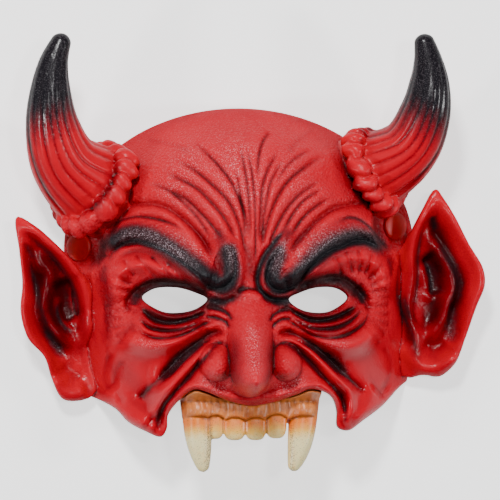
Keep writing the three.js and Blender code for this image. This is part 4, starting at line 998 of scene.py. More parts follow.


# Black on the face, mostly airbrushed paint, and in the eye sockets, round the eye holes, under the brow
# rims and in the jaw hollows painted shade: the line, its width in mm, how strong it is, and how firm its
# edge.
blackStrokes = {
    "browBandL": ([(-65.6, -2.4), (-64, 2.4), (-59.5, 6.7), (-52.6, 7.7), (-45.8, 5.3), (-38.5, 1),
        (-31.3, -4.3), (-24, -9.5), (-18, -14.2), (-11.5, -16.2), (-8.8, -11.4), (-9.1, -4.8), (-10, 0),
        (-11.3, 3.3)], (4.9, 4), 0.97, 3),
    "browUpL": ([(-59.5, 8.6), (-51.3, 9.1), (-43.1, 5.7), (-34.9, 0.5), (-26.8, -5.7),
        (-20.3, -10.4)], (6, 3), 0.3, 2),
    "hookL": ([(-13.5, -16.1), (-10.2, -12.3), (-9.6, -5.7), (-11.4, 1),
        (-13.1, 4.3)], (3.2, 3.4), 0.95, 2.2),
    "hookTopL": ([(-11.4, 1), (-13.5, 6.2), (-15.8, 11.4)], (3.4, 2.4), 0.45, 1.5),
    "browBandR": ([(15.2, 2.4), (12.6, -1.9), (10, -8.6), (10.7, -14.7), (13.8, -17.6), (17.9, -16.2),
        (23.1, -11.9), (29.2, -6.2), (36.6, -1), (44, 2.9), (51.6, 4.8), (59.6, 4.8), (65.2, 1.9),
        (69.6, -2.4)], (5.6, 4), 0.97, 3),
    "browUpR": ([(23.8, -5.7), (30, 0), (37.2, 4.8), (45.6, 8.2), (54.1, 9.6),
        (60.6, 8.2)], (6.5, 3), 0.35, 2),
    "hookR": ([(16.7, 4.3), (13.2, -1), (10.5, -7.6), (11.7, -14.7)], (3.4, 3), 0.95, 2.2),
    "hookTopR": ([(14.7, 0), (18.2, 6.2), (21.2, 11.5)], (3.4, 2.4), 0.45, 1.5),
    "betweenBrowsR": ([(17.2, 10), (12.2, 3.8), (7.5, -2.4), (4.8, -9), (4.1, -15.7), (6.3, -20.5),
        (11.8, -23.8), (19.9, -22.9)], 1.1, 0.85, 2.5),
    # Black painted shade in the eye sockets, round the eye holes and under the brow rims, down to the
    # lowest lines under the eyes.
    "rimUnderL": ([(-20.4, -22.4), (-13.9, -24.3), (-7.6, -23.3), (-3.5, -18.1),
        (-2.6, -10.5)], 1.2, 0.4, 2),
    "socketInL": ([(-19.9, -22.4), (-14.4, -25.3), (-9.4, -26.6)], 2.4, 0.5, 1.6),
    "socketInR": ([(21.9, -23), (16.3, -24.8), (10.8, -26.2)], 2.4, 0.5, 1.6),
    "eyeTopL": ([(-51.7, -25.5), (-49.4, -21.1), (-44.9, -17.8), (-38.1, -16.3), (-30.9, -16.7),
        (-23.8, -19.1), (-18.2, -21.9)], 1.3, 0.35, 2.2),
    "eyeOutL": ([(-51.3, -19.7), (-53.1, -23.6), (-52.2, -27.4)], 2.1, 0.6, 2),
    "eyeLowL": ([(-50, -28.3), (-44.7, -33), (-36.1, -34.8), (-27.8, -32.8), (-20, -29.1)], 0.9, 0.4, 2),
    "eyeLow2L": ([(-51.5, -33.6), (-46.6, -37.8), (-39.4, -39.1), (-31.7, -38.1),
        (-23.2, -34.2)], 0.7, 0.2, 2),
    "eyeLow3L": ([(-50.4, -39.7), (-44.5, -42.5), (-37.3, -42.4), (-29.4, -39.5), (-21.9, -35.6),
        (-15.7, -33.8)], 0.7, 0.25, 2),
    "eyeTopR": ([(18.8, -22.4), (24.5, -18.1), (33.3, -15.3), (43, -14.9), (49.4, -17.4), (54.7, -21.3),
        (56.8, -25.6)], 1.3, 0.4, 2.2),
    "eyeOutR": ([(55.7, -19.3), (57.8, -23.2), (56.2, -27.5)], 2.1, 0.55, 2),
    "eyeLowR": ([(18.9, -27.2), (24.5, -31.5), (31.1, -33.9), (38.4, -33.5), (45.8, -31.2),
        (54.2, -27)], 0.9, 0.45, 2),
    "eyeLow2R": ([(22.1, -33.8), (27.9, -37.2), (34.4, -38.2), (43, -37.4), (51, -34.2),
        (57.2, -29.5)], 0.7, 0.25, 2),
    "eyeLow3R": ([(17.2, -33.8), (22, -36.2), (28, -40.1), (35.8, -42.5), (45.1, -42.2), (52.5, -39.4),
        (59.1, -34.3)], 0.7, 0.2, 2),
    "crease1L": ([(-11.1, -40.4), (-16.7, -40), (-21.8, -42.5), (-27.4, -46.8), (-32.9, -51.6),
        (-37.5, -57.4), (-42.9, -62.9), (-48.3, -68.3), (-51.1, -71.7)], 1.3, 0.45, 1.5),
    "crease1SoftL": ([(-20.4, -42.9), (-27, -47.7), (-33, -53.5), (-38, -58.9)], (2.8, 2.4), 0.28, 1.3),
    "crease1bL": ([(-16.7, -42), (-22.4, -45.8), (-28, -50.6), (-33.6, -56.3), (-38.9, -61.7),
        (-43.9, -66.7)], 0.9, 0.2, 2),
    "crease1R": ([(12.6, -40.5), (19.7, -40.1), (25.7, -42.6), (31.9, -46.5), (38.2, -51.4),
        (43.4, -56.3), (48.7, -61.3), (54.7, -66.2), (57.7, -68.6)], 1.2, 0.45, 1.5),
    "crease1SoftR": ([(35.7, -47.5), (41.9, -51.9), (47.7, -56.8), (52.5, -61.8)], (3.4, 2.6), 0.3, 1.3),
    "crease1bR": ([(19.8, -42.5), (25.8, -45), (32, -48.9), (38.3, -54.3), (43.6, -59.7),
        (48.9, -64.7)], 0.9, 0.2, 2),
    "crease2L": ([(-12.4, -43.7), (-17.2, -46.6), (-22.4, -52.3), (-26.6, -58.2), (-31.3, -63.9),
        (-35.5, -69), (-39, -73.9), (-40.9, -79.7), (-41.2, -86.5)], 1.1, 0.35, 1.5),
    "crease2R": ([(14, -44.3), (20.2, -46.7), (26.6, -51.2), (31.5, -56), (36.7, -61.8), (41.9, -66.8),
        (46.1, -71.7), (47.6, -76.1), (46.3, -81.9)], 1.1, 0.35, 1.5),
    "noseWrinkleL1": ([(-20.3, -27.2), (-14.9, -28.6), (-10.4, -30.9), (-8.5, -34.6)], 1, 0.35, 2),
    "noseWrinkleL2": ([(-21.2, -32.4), (-15.6, -32.8), (-11.4, -34.7), (-9.4, -38.4)], 1.1, 0.35, 2),
    "noseWrinkleR1": ([(20.3, -28.7), (15.2, -29.6), (11.1, -31.9), (8.7, -35.1)], 1, 0.35, 2),
    "noseWrinkleR2": ([(20.7, -33.3), (16.3, -33.3), (12.5, -35.2), (10.3, -38.5)], 1, 0.35, 2),
    "wingTopL": ([(-20.1, -48.4), (-17, -45.2), (-13.2, -43.8), (-10.5, -45.5)], 1, 0.25, 2),
    "wingTopR": ([(11.6, -46.1), (15.1, -44.3), (19, -44.8), (22.3, -48.6)], 1, 0.25, 2),
    "browCreaseL": ([(-65, 6.3), (-61.1, 12.5), (-54.3, 15.4), (-45.1, 14.8), (-37.2, 12.4),
        (-30.6, 8.6)], 0.6, 0.2, 2),
    "browCreaseR": ([(43.7, 13), (50.1, 15.4), (56, 14), (61.8, 9.7), (67.5, 3.9)], 0.8, 0.55, 2),
    "frownL": ([(-62.3, 17.4), (-55.2, 20.7), (-46.5, 21.6), (-38.3, 19.7), (-31.4, 14.8), (-24.9, 8.6),
        (-20.8, 2.9), (-17.9, -3.3)], 0.7, 0.2, 2),
    "frownR": ([(18.6, -1.4), (23.5, 3.8), (31.2, 11.5), (40.1, 18.3), (49.1, 20.8),
        (59.8, 22.3)], 0.7, 0.2, 2),
    "browTailL": ([(-66.5, -5.8), (-67.9, -12.1), (-67.5, -18.4)], 2, 0.35, 2),
    "browTailR": ([(70.2, -2.9), (72.4, -8.8), (71.8, -14.6)], 2, 0.4, 2),
    "noseBaseL": ([(-10.2, -66.9), (-6.7, -70), (-3.2, -72.2)], 1.6, 0.15, 2),
    "noseBaseR": ([(4.1, -71.6), (6.4, -69.6), (9.4, -66.4)], 1.6, 0.15, 2),
    # Black painted shade at the inner corners of the eyes.
    "lidInnerL": ([(-20.3, -23.4), (-16.7, -23.8), (-13, -23.3)], 1.8, 0.45, 2),
    "lidInnerR": ([(15.3, -23.9), (19.4, -23.9), (23.5, -23)], 1.8, 0.45, 2),
    # Black painted shade in the hollows beside the jaw.
    "jawHollowL": ([(-41.4, -73.9), (-42.7, -80.7), (-42.1, -87.5)], 1.1, 0.5, 2),
    "jawHollowR": ([(47.7, -73.2), (48.1, -78.9), (47, -84.9)], 1.1, 0.5, 2),
}
# Black on the ears: partly airbrushed paint, partly painted shade in their hollows and grooves: the line,
# its width, how strong it is, and how firm its edge.
earStrokes = {
    "tipL": ([(-106.8, 8.2), (-101.9, 5.3), (-94.2, -0.5), (-88.4, -7.3), (-83.5, -14.1), (-80.6, -20.9),
        (-79.2, -28.6), (-78.7, -36.4)], (1, 1.6), 0.5, 1.8),
    "rearL": ([(-105.3, -2.4), (-101.9, -10.2), (-99, -18.9), (-98.1, -26.7), (-95.2, -35.4),
        (-91.3, -44.1), (-86.4, -52.9)], (1.2, 1.9), 0.42, 1.8),
    "rearTopL": ([(-106.3, 4.8), (-103.9, 0), (-99, -5.8)], 1.6, 0.4, 2),
    "rearEndL": ([(-95.2, -37.8), (-90.8, -45.6), (-85.5, -53.4)], 2.6, 0.55, 1.8),
    "bowlL": ([(-88.9, -24.7), (-89.3, -30.6), (-85.9, -37.4), (-79.6, -40.8)], 1, 0.65, 2),
    "creaseHeadL": ([(-68.5, -20.9), (-66.5, -29.1), (-67.5, -38.8), (-68.5, -48.5)], 0.9, 0.25, 2),
    "tipR": ([(93, 17.1), (93.9, 14.2), (96.4, 8.8)], 1.9, 0.75, 2),
    "rearR": ([(94.4, 11.7), (97.4, 2), (101.3, -4.9), (105.3, -12.7), (105.8, -18.6), (103.3, -24.5),
        (102.3, -32.3), (103.3, -42.1)], (1.5, 1.1), 0.5, 1.8),
    "rearWideR": ([(97.4, 4.9), (102.3, -3.9), (107.2, -13.7), (107.7, -21.5),
        (105.3, -29.3)], 2.4, 0.3, 1.6),
    "rearEndR": ([(104.8, -26.4), (104.3, -34.2), (103.8, -41.1), (101.8, -46.9)], 3.2, 0.5, 1.8),
    "frontR": ([(91.5, 16.1), (88.5, 8.8), (87.5, 1), (87.5, -9.8), (87, -20.5),
        (86.6, -32.3)], (0.9, 1.3), 0.45, 2),
    "bowlR": ([(90, -3.4), (92.5, -8.8), (94.4, -16.6), (94.4, -24.4)], 1.1, 0.6, 2),
    "bowlSpotR": ([(91.5, -5.9), (95.9, -10.8), (96.9, -16.6)], 2.2, 0.3, 2),
    "sideR": ([(79.2, -20.5), (80.2, -25.4), (82.1, -31.3), (83.6, -36.2)], 1.6, 0.45, 2),
    "creaseHeadR": ([(80.2, 4.9), (77.7, -5.9), (76.2, -16.1), (76.7, -23.9), (80.2, -32.7),
        (84.1, -40.1), (85.6, -48.9), (88, -57.7)], 0.9, 0.35, 2),
}
# Dark red in the hollows, partly washed in and partly painted shade: the line, its width, how strong it is,
# and how firm its edge.
washStrokes = {
    "socketTopL": ([(-11.2, -25.2), (-19.6, -20.5), (-28.2, -17.2), (-37.3, -15.3), (-45.4, -16.8),
        (-50.3, -21.2), (-52.7, -26.9)], (4.4, 3.6), 0.95, 1.8),
    "socketLowL": ([(-53.6, -24.1), (-49.9, -27.9), (-44.2, -31.1), (-35.9, -32.5), (-27.1, -31),
        (-19.4, -27.2), (-11.2, -25.2)], 3.8, 0.95, 1.8),
    "eyeRimL": ([(-52.2, -26.9), (-49.4, -22.6), (-45.3, -19.2), (-38.1, -16.3), (-30, -16.7),
        (-22.4, -19.5), (-16.8, -22.4)], (2.6, 2.4), 0.9, 2),
    "eyeRimR": ([(17.8, -22.9), (24.6, -18.6), (33.3, -15.3), (43.1, -15.9), (50.1, -19.3), (54.8, -23.7),
        (56.2, -27.5)], (2.4, 2.6), 0.9, 2),
    "socketInL": ([(-20.3, -24.3), (-13, -23.8), (-6.6, -20), (-4.6, -14.3)], (4.2, 3), 0.95, 2),
    "socketTopR": ([(14.8, -24.8), (21.6, -19.6), (28.1, -15.7), (36.3, -13.9), (46.1, -14.4),
        (52.5, -17.4), (56.8, -22.2), (57.8, -27.1)], (3.6, 4.4), 0.95, 1.8),
    "socketLowR": ([(58.9, -24.2), (54.1, -28), (46.9, -30.8), (37.5, -32.6), (28.4, -31.5),
        (21.9, -28.2), (14.8, -25.3)], 3.8, 0.95, 1.8),
    "socketInR": ([(23, -23.9), (15.8, -24.8), (9.8, -22.9), (5.9, -17.1)], (3.4, 3.8), 0.95, 2),
    "underBrowL": ([(-66.5, -8.7), (-64.8, -1), (-59.8, 3.4), (-52.4, 3.4), (-44.3, 0), (-35.7, -5.7),
        (-26.7, -12.4), (-18.1, -18.1), (-10.3, -19.5), (-5.7, -15.2), (-4.8, -8.6),
        (-6.7, -1)], (1.9, 2.4), 0.85, 2),
    "underBrowR": ([(73.5, -5.9), (67.6, 1.9), (58.4, 6.8), (49.8, 6.7), (41.3, 3.4), (33.9, -1.9),
        (26.6, -8.6), (20.8, -14.7), (14.5, -20), (8.7, -19.5), (5.7, -14.3), (6.5, -7.6),
        (10.6, -1)], (2.4, 1.9), 0.85, 2),
    "noseSideL": ([(-9.4, -36.1), (-8.5, -43.5), (-8.5, -50), (-9, -56.4), (-8.2, -62.3),
        (-5.4, -67.5)], (3, 2.6), 0.75, 1.8),
    "noseSideR": ([(12, -36.2), (10.7, -43.7), (9.1, -50.1), (8.3, -56.4), (6, -62.2),
        (3.4, -67.4)], (2.6, 3), 0.75, 1.8),
    "wingRingL": ([(-21.6, -52.2), (-19.9, -46.6), (-15.4, -43.8), (-11.6, -44.6), (-10.6, -50.1),
        (-11.9, -56.5), (-14.8, -61.6), (-19.4, -60.7)], 1.1, 0.5, 2),
    "wingRingR": ([(24.6, -53.5), (23.5, -47.8), (19.6, -44.4), (15, -44.8), (10.9, -49.2), (10.7, -55.6),
        (15.7, -61.2), (20.8, -60.9)], 1.1, 0.5, 2),
    "creaseZoneL": ([(-10.7, -40.8), (-20.5, -43.4), (-28.8, -49.2), (-37.1, -57.9), (-45.2, -67.7),
        (-51.6, -74.1)], 2.6, 0.35, 2),
    "creaseZone2L": ([(-12.4, -44.7), (-21.1, -50.8), (-28, -60.1), (-35.1, -69), (-39.6, -76.8),
        (-41.2, -87.5)], 2, 0.35, 2),
    "creaseZoneR": ([(12.6, -40.5), (23.7, -41.6), (34, -48), (44.4, -56.8), (52.7, -65.7),
        (58.7, -70.6)], 2.6, 0.35, 2),
    "creaseZone2R": ([(14.5, -44.8), (24.6, -49.7), (34.5, -59.4), (43, -68.2), (47.6, -76.1),
        (46.6, -85.8)], 2, 0.35, 2),
    "creaseHeadL": ([(-70.2, -12.6), (-67.9, -20.3), (-66.1, -29), (-66.4, -38.7), (-68.1, -49.5),
        (-69.7, -59.3)], (2.2, 2.6), 0.35, 2),
    "browTailL": ([(-67.4, -24.2), (-68.8, -16.4), (-68.4, -7.7), (-66.6, 0),
        (-63.1, 6.7)], (3.4, 3), 0.3, 2),
    "browTailR": ([(75.8, -24.4), (74.6, -14.6), (72.4, -5.9), (68.8, 1.9), (64, 8.7)], (3, 3.4), 0.4, 2),
    "underNose": ([(-7.7, -69.1), (-3.1, -71.6), (2, -72.9), (5.8, -71.1), (8.5, -68.7)], 1.6, 0.35, 2),
    "betweenBrowsMid": ([(-1.3, 4.8), (0.2, -5.7), (1.2, -16.2)], 2.6, 0.55, 2),
    "bagL": ([(-52.8, -28.8), (-46.5, -34.9), (-39.4, -38.2), (-31.2, -38.1), (-22.8, -35.2),
        (-14.1, -31.4)], 3.2, 0.75, 2),
    "bagR": ([(16.5, -31.5), (24, -35.2), (32.9, -38.2), (42.4, -37.9), (51, -34.7),
        (58.8, -29)], 3.2, 0.75, 2),
    "lidFoldL": ([(-56.6, -5.8), (-51, -3.4), (-43.8, -4.8), (-35.7, -8.6), (-28.5, -13.3)], 1.5, 0.4, 2),
    "lidFoldR": ([(23.7, -12.8), (31.9, -7.6), (40.5, -3.4), (50.4, -1), (60.2, -2.9)], 1.5, 0.4, 2),
    "cheekLowL": ([(-61.8, -48.3), (-56.7, -57.8), (-51, -67.5), (-46.1, -75.9)], (4.6, 4.2), 0.3, 1.6),
    "cheekSideL": ([(-70.9, -38.8), (-67.2, -49.4), (-62.6, -59), (-58, -67.6)], 3.6, 0.25, 1.6),
    "jawL": ([(-58.9, -71.5), (-50.7, -75.1), (-44.1, -81.7), (-40.3, -88.5)], 2.2, 0.3, 2),
    "crownL": ([(-50.4, 50.6), (-50.3, 40.6), (-53.4, 29.9), (-57.9, 21.3), (-64.7, 13.5),
        (-69.4, 6.8)], 3.4, 0.35, 2),
    "crownR": ([(42.2, 49.5), (45.2, 39.6), (48.8, 29.9), (55.6, 22.3), (62.6, 16.5),
        (69.3, 13.6)], 3.4, 0.35, 2),
}
# Dark red in the hollows of the ears: partly a washed-in red, partly painted shade.
earWashAndShade = {
    "outerHollowL": ([(-105.8, 5.8), (-101, 1.9), (-97.1, -5.8), (-95.2, -16.5), (-92.3, -27.2),
        (-88.4, -36.9), (-84.5, -46.6), (-81.6, -53.4)], (3.4, 4.2), 0.9, 2),
    "rearWideL": ([(-105.8, 3.9), (-102.9, -5.8), (-100, -16.5), (-98.1, -26.2), (-95.2, -36.9),
        (-90.3, -45.6), (-85.5, -53.4)], (2.8, 3.4), 0.75, 2),
    "bowlL": ([(-89.3, -17.5), (-86.4, -24.3), (-83.5, -31), (-80.1, -36.9)], 3.8, 0.8, 2),
    "upperHollowL": ([(-98.1, 0), (-92.3, -7.8), (-88.4, -16.5), (-85.5, -25.2)], 3.4, 0.75, 2),
    "headL": ([(-69, -5.8), (-67, -15.5), (-65.1, -26.2), (-66, -38.8), (-68.5, -49.5)], 2.4, 0.6, 2),
    "outerHollowR": ([(93, 15.6), (96.4, 7.8), (100.3, -1), (104.8, -10.8), (106.3, -20.5),
        (104.8, -30.3), (102.3, -41.1)], 3.6, 0.9, 2),
    "bowlR": ([(89.5, -1), (93, -7.8), (95.4, -16.6), (96.4, -26.4), (95.4, -35.2),
        (97.4, -43)], (4.4, 4.2), 0.85, 2),
    "upperHollowR": ([(91, 10.8), (93.4, 2), (97.4, -5.9), (100.3, -15.6)], 3, 0.6, 2),
    "headR": ([(80.2, 0), (77.2, -10.7), (76.7, -22.5), (79.7, -33.2), (83.6, -42), (86.6, -51.8),
        (88.5, -60.6)], 2.2, 0.75, 2),
    "sideR": ([(79.7, -19.5), (81.6, -28.3), (84.1, -36.2), (85.6, -42)], 2.4, 0.6, 2),
}
# Dark red at the roots of the horns and along their outer edges: partly a washed-in red, partly painted
# shade.
hornWashAndShade = {
    "rootL": ([(-64.9, 50.1), (-62.4, 44.4), (-62.9, 37.6), (-64.9, 31.8), (-68.7, 26), (-72.6, 21.2),
        (-78.4, 18.3), (-84.1, 17.3)], 2.2, 0.8, 2),
    "rootR": ([(46.7, 52.3), (48.1, 42.6), (51.6, 34.4), (54.5, 28.1), (61.3, 22.3),
        (69.1, 19.9)], 2.2, 0.8, 2),
    "backL": ([(-102.4, 77), (-104.8, 68.4), (-105.3, 58.7), (-103.4, 49.1), (-100.5, 39.5),
        (-96.7, 30.8), (-91.8, 23.1), (-88, 16.4)], 1.1, 0.85, 2),
    "backR": ([(98.5, 76.7), (100.4, 68), (98, 56.3), (91.6, 43.7), (82.8, 33), (74, 24.3)], 1.1, 0.7, 2),
}
# Where the black turns a speckled grey: partly rubbed wear, partly a painted sheen on its crests.
wornStrokes = {
    "browL": ([(-64, 1.9), (-59.5, 6.2), (-52.2, 8.1), (-44.9, 6.2), (-37.6, 1.4), (-29.9, -4.3),
        (-22.2, -10.4)], (2.4, 4.6), 1, 1.8),
    "hookL": ([(-8.8, -14.2), (-6.9, -7.6), (-8.7, 0), (-11.1, 5.7)], 3, 1, 2),
    "browR": ([(19.6, -12.3), (25.2, -6.2), (31.4, -0.5), (39.2, 4.3), (47.7, 7.2), (56.2, 7.7),
        (64.4, 4.8), (70.2, 0)], (5.2, 2.6), 1, 1.8),
    "hookR": ([(12.1, -13.3), (13, -5.7), (16.2, 1.4), (19.8, 6.7)], 3.2, 1, 2),
    "creaseR": ([(38.5, -47.9), (46, -53.9), (53.5, -60.8)], 2.6, 0.8, 2),
    "creaseL": ([(-25.1, -45.3), (-31.6, -51.6), (-38, -58.4)], 1.8, 0.5, 2),
    "earEndR": ([(103.3, -33.3), (102.3, -42.1), (100.3, -48.9)], 3, 0.9, 2),
    "earEndL": ([(-93.2, -43.6), (-88.4, -50.4), (-84.5, -55.3)], 2.4, 0.8, 2),
}
# Painted highlights: pale specks on the red, on top of its grain, where its sheen would catch the light.
rubbedStrokes = {
    "foreheadMid": ([(0.3, 56.8), (-3.8, 43.1), (-3.4, 28.6), (-1.3, 14.3)], 12, 0.85, 2),
    "foreheadL": ([(-15.4, 52.9), (-27.4, 41.2), (-36.1, 28.7), (-41.5, 22.1)], 9, 0.6, 2),
    "foreheadR": ([(11.5, 52.9), (20.3, 38.3), (27.8, 25.8), (40.3, 22.1)], 8, 0.4, 2),
    "browCrestL": ([(-42.1, 7.6), (-33.9, 2.9), (-25.7, -2.9), (-18.3, -8.5)], 4.4, 0.95, 2),
    "browCrestR": ([(18.2, -5.7), (24.5, 1), (33.3, 6.7), (43.7, 11)], 4.4, 0.8, 2),
    "noseRidge": ([(0.2, -32.2), (-0.1, -42.4), (-0.4, -52.6), (-1.2, -62.6)], 3.2, 1, 1.8),
    "lipL": ([(-22.5, -58.9), (-16.3, -64.6), (-10, -68.8)], 4.4, 0.9, 2),
    "lipR": ([(26.5, -58.3), (20, -64.7), (11.2, -69)], 4.4, 0.9, 2),
    "cheekboneL": ([(-55, -41.2), (-50.4, -44.5), (-45, -45.8), (-38.5, -45.3)], (2.8, 2), 0.6, 1.8),
    "cheekboneR": ([(31.1, -42), (37.9, -44), (45.1, -45), (51.4, -42.3)], (2, 2.8), 0.6, 1.8),
}
paintLook = {
    # Where the black of each horn starts and where it is full, in mm up the face.
    "hornFade": {"left": (46, 80), "right": (42, 78)},
    # For the painted shade in the hollows and the painted highlight on the crests: how deep a hollow or how
    # proud a crest is at its full, in mm, and how much it counts.
    "recess": {"near": (2.6, 0.55), "wide": (7.5, 0.45), "fine": (0.34, 0.32), "broad": (2.4, 0.3)},
    "crest": {"fine": (0.5, 0.5), "broad": (2.6, 0.4), "near": (3, 0.3)},
    # The deepest painted shade, how strong the painted shade in the flutes and in the ears is and how much
    # the forehead is spared it, and the grey of wear and sheen on the horn tips.
    "recessMost": 0.6, "fluteShade": 0.75, "earShade": 0.5, "foreheadEase": 0.35, "hornWearAndSheen": 0.07,
    "matt": {"horn": 0.28, "ear": 0.1, "collar": 0.35},
    "grainy": {"horn": 0.03, "ear": 0.22, "collar": 0.15},
    # The smooth wet-looking rolls round the eyes: how wide they are in mm and how smooth.
    "glossy": {
        "lidL": (5, 0.85), "lidR": (5, 0.85), "bag2L": (4, 0.85), "bag2R": (4, 0.85),
        "cheekboneL": (6, 0.85), "cheekboneR": (6, 0.85), "ridgeL": (5, 0.8), "ridgeR": (5, 0.8),
    },
}


# Where on a horn each point lies: its share of the way to the tip, how far out it is, and how deep
# in a flute.
def hornPlace(points, shape):
    shares = np.linspace(0, 1, 90)
    middle, _, sideways, raised = hornFrame(shape["path"], shares)
    radii = radiusAlong(shape["radii"], shares)
    away = np.full(len(points), np.inf)
    nearest = np.zeros(len(points), int)
    for k in range(len(shares)):
        gap = np.linalg.norm(points - middle[k], axis=1)
        closer = gap < away
        away[closer], nearest[closer] = gap[closer], k
    offset = points - middle[nearest]
    angle = np.arctan2(*[np.einsum("ij,ij->i", offset, way[nearest]) for way in (raised, sideways)])
    return shares[nearest], away / radii[nearest], hornGroove(shares[nearest], angle)


# Lays strokes over a value: each covers its share of what is still bare.
def layOver(value, x, y, strokes, where):
    for line, width, strength, firm in strokes.values():
        here = stroke(x, y, line, width, firm) * strength
        value = np.where(where, 1 - (1 - value) * (1 - here), value)
    return value


# How far the face lies below the level of its surroundings, at a narrow and at a wide scale.
def faceHollows(x, y):
    step = 1.0
    xs, ys = np.arange(-104, 104.1, step), np.arange(-106, 84.1, step)
    gx, gy = np.meshgrid(xs, ys)
    height = outerHeight(gx, gy) - noseHeight(gx, gy)
    found = []
    for reach in (3, 8):
        smooth = height
        for _ in range(3):
            for axis in (0, 1):
                smooth = sum(np.roll(smooth, k, axis) for k in range(-reach, reach + 1)) / (2 * reach + 1)
        i, j = np.clip((x - xs[0]) / step, 0, len(xs) - 2), np.clip((y - ys[0]) / step, 0, len(ys) - 2)
        found.append((smooth - height)[np.round(j).astype(int), np.round(i).astype(int)])
    return found


# Which points are on an ear, and how far inside its rim they lie.
def earPlace(x, y):
    ear, within = np.zeros(len(x), bool), np.zeros(len(x))
    for side in ("left", "right"):
        outline = np.asarray(earShape[side]["outline"], float)
        gap = insideBy(x, y, curvePoints(outline, np.arange(80) / 80, closed=True))
        ear |= (gap > -1) & (np.abs(x) > 66)
        within = np.maximum(within, smoothStep(gap, 5, 10) * smoothStep(y, -58, -44))
    return ear, within


# Which points are on a horn, how black they are, and how deep in a flute.
def hornPaint(points):
    x, y, z = points.T
    horn = np.zeros(len(points), bool)
    black, flute = np.zeros(len(points)), np.zeros(len(points))
    for side, sign in (("left", -1), ("right", 1)):
        around = np.flatnonzero((x * sign > 38) & (y > 15))
        share, away, groove = hornPlace(points[around], hornShape[side])
        on = (away < 1.35) & (share > 0.2)
        horn[around] |= on
        outward = np.clip((np.abs(x[around]) - 88) / 9, -1, 1)
        level = y[around] + 8 * groove + 4 * outward
        flute[around] = np.where(on, groove * smoothStep(share, 0.15, 0.3), 0)
        black[around] = np.where(on, smoothStep(level, *paintLook["hornFade"][side]), 0)
    return horn, black, flute


def paintMask(piece):
    look = paintLook
    points, normals = pointsOf(piece), normalsOf(piece)
    x, y, z = points.T
    bare = np.zeros(len(points))
    front = smoothStep(normals[:, 2], -0.45, -0.1)
    fine, broad = hollowness(piece, 4), hollowness(piece, 30)
    near, wide = faceHollows(x, y)
    ear, earInside = earPlace(x, y)
    horn, hornBlack, flute = hornPaint(points)
    collar = ~(ear | horn) & (z - outerHeight(x, y) > 0.8) & (y > 15) & (np.abs(x) > 38)
    face = ~(ear | horn | collar)

    # Painted shade in the hollows and painted highlight on the crests, from how hollow or proud the surface
    # is at a fine and a broad scale.
    deep, proud = look["recess"], look["crest"]
    recess = (counted(near, *deep["near"]) + counted(wide, *deep["wide"])) * smoothStep(z, 8, 24)
    recess = np.where(face, recess, 0) + counted(fine, *deep["fine"]) + counted(broad, *deep["broad"])
    recess = np.minimum(np.where(horn, flute * look["fluteShade"], recess), look["recessMost"])
    recess = recess * np.where(face, 1 - look["foreheadEase"] * smoothStep(y, 2, 22), 1)
    crest = counted(-fine, *proud["fine"]) + counted(-broad, *proud["broad"])
    crest = crest + np.where(face, counted(-near, *proud["near"]), 0)

    black = layOver(bare, x, y, blackStrokes, face)
    black = layOver(black, x, y, earStrokes, ~horn)
    # Grey on the black: partly wear, partly painted sheen.
    worn = layOver(bare, x, y, wornStrokes, ~horn)
    # Painted highlights on the red.
    rubbed = layOver(bare, x, y, rubbedStrokes, face)
    # Painted shade along the deep narrow creases of the face.
    finest = {name: (line, 0.7 * width, 0.5, 2) for name, (line, height, width) in faceFolds.items()
              if height < -1.4 and not isinstance(width, tuple) and width < 1.7}
    # Dark red in the hollows: the washed-in red together with painted shade, on the face, the ears and
    # round the horns.
    wash = layOver(bare, x, y, washStrokes, face)
    wash = layOver(wash, x, y, finest, face)
    wash = layOver(wash, x, y, earWashAndShade, ~horn)
    wash = np.where(ear, 1 - (1 - wash) * (1 - look["earShade"] * earInside), wash)
    wash = layOver(wash, x, y, hornWashAndShade, np.abs(y - 50) < 60)

    rim = smoothStep(1 - normals[:, 2], 0.35, 0.75) * smoothStep(y, 20, 45)
    matt = np.where(ear, look["matt"]["ear"], look["matt"]["collar"])
    matt = np.where(horn, look["matt"]["horn"] * (1 - 0.7 * hornBlack), matt)
    glossy = {name: (faceFolds[name][0], *reach, 2) for name, reach in look["glossy"].items()}
    smooth = smoothStep(-y, 34, 46) * smoothStep(np.abs(x), 26, 36)
    smooth = layOver(smooth, x, y, glossy, face)
    grainy = np.where(horn, look["grainy"]["horn"], look["grainy"]["collar"])
    grainy = np.where(ear, look["grainy"]["ear"], grainy)
    paintLayers(
        piece,
        blackPaint=np.where(horn, hornBlack, black) * front,
        worn=np.where(horn, look["hornWearAndSheen"], worn) * front,
        wash=wash * front,
        rubbed=rubbed * front,
        recess=recess * front,
        crest=crest,
        matt=np.where(face, rim, matt),
        grainy=np.where(face, 1 - 0.88 * smooth, grainy),
        inside=(1 - smoothStep(normals[:, 2], -0.5, -0.1)) * np.where(horn, 0, 1),
    )


teethPaint = {
    "fangFade": (2, 12), "toothFade": (1.2, 10),  # mm below the gum where the pale tip starts and is full
    "toothTip": 0.8,
    # How hollow the surface is where the painted shade between the teeth and along the gum is full, in mm,
    # and how much it counts.
    "recess": {"fine": (0.2, 0.75), "broad": (1.1, 0.45)},
    "stain": (80, 86),  # mm down the face where the stain on the fangs starts and is full
}


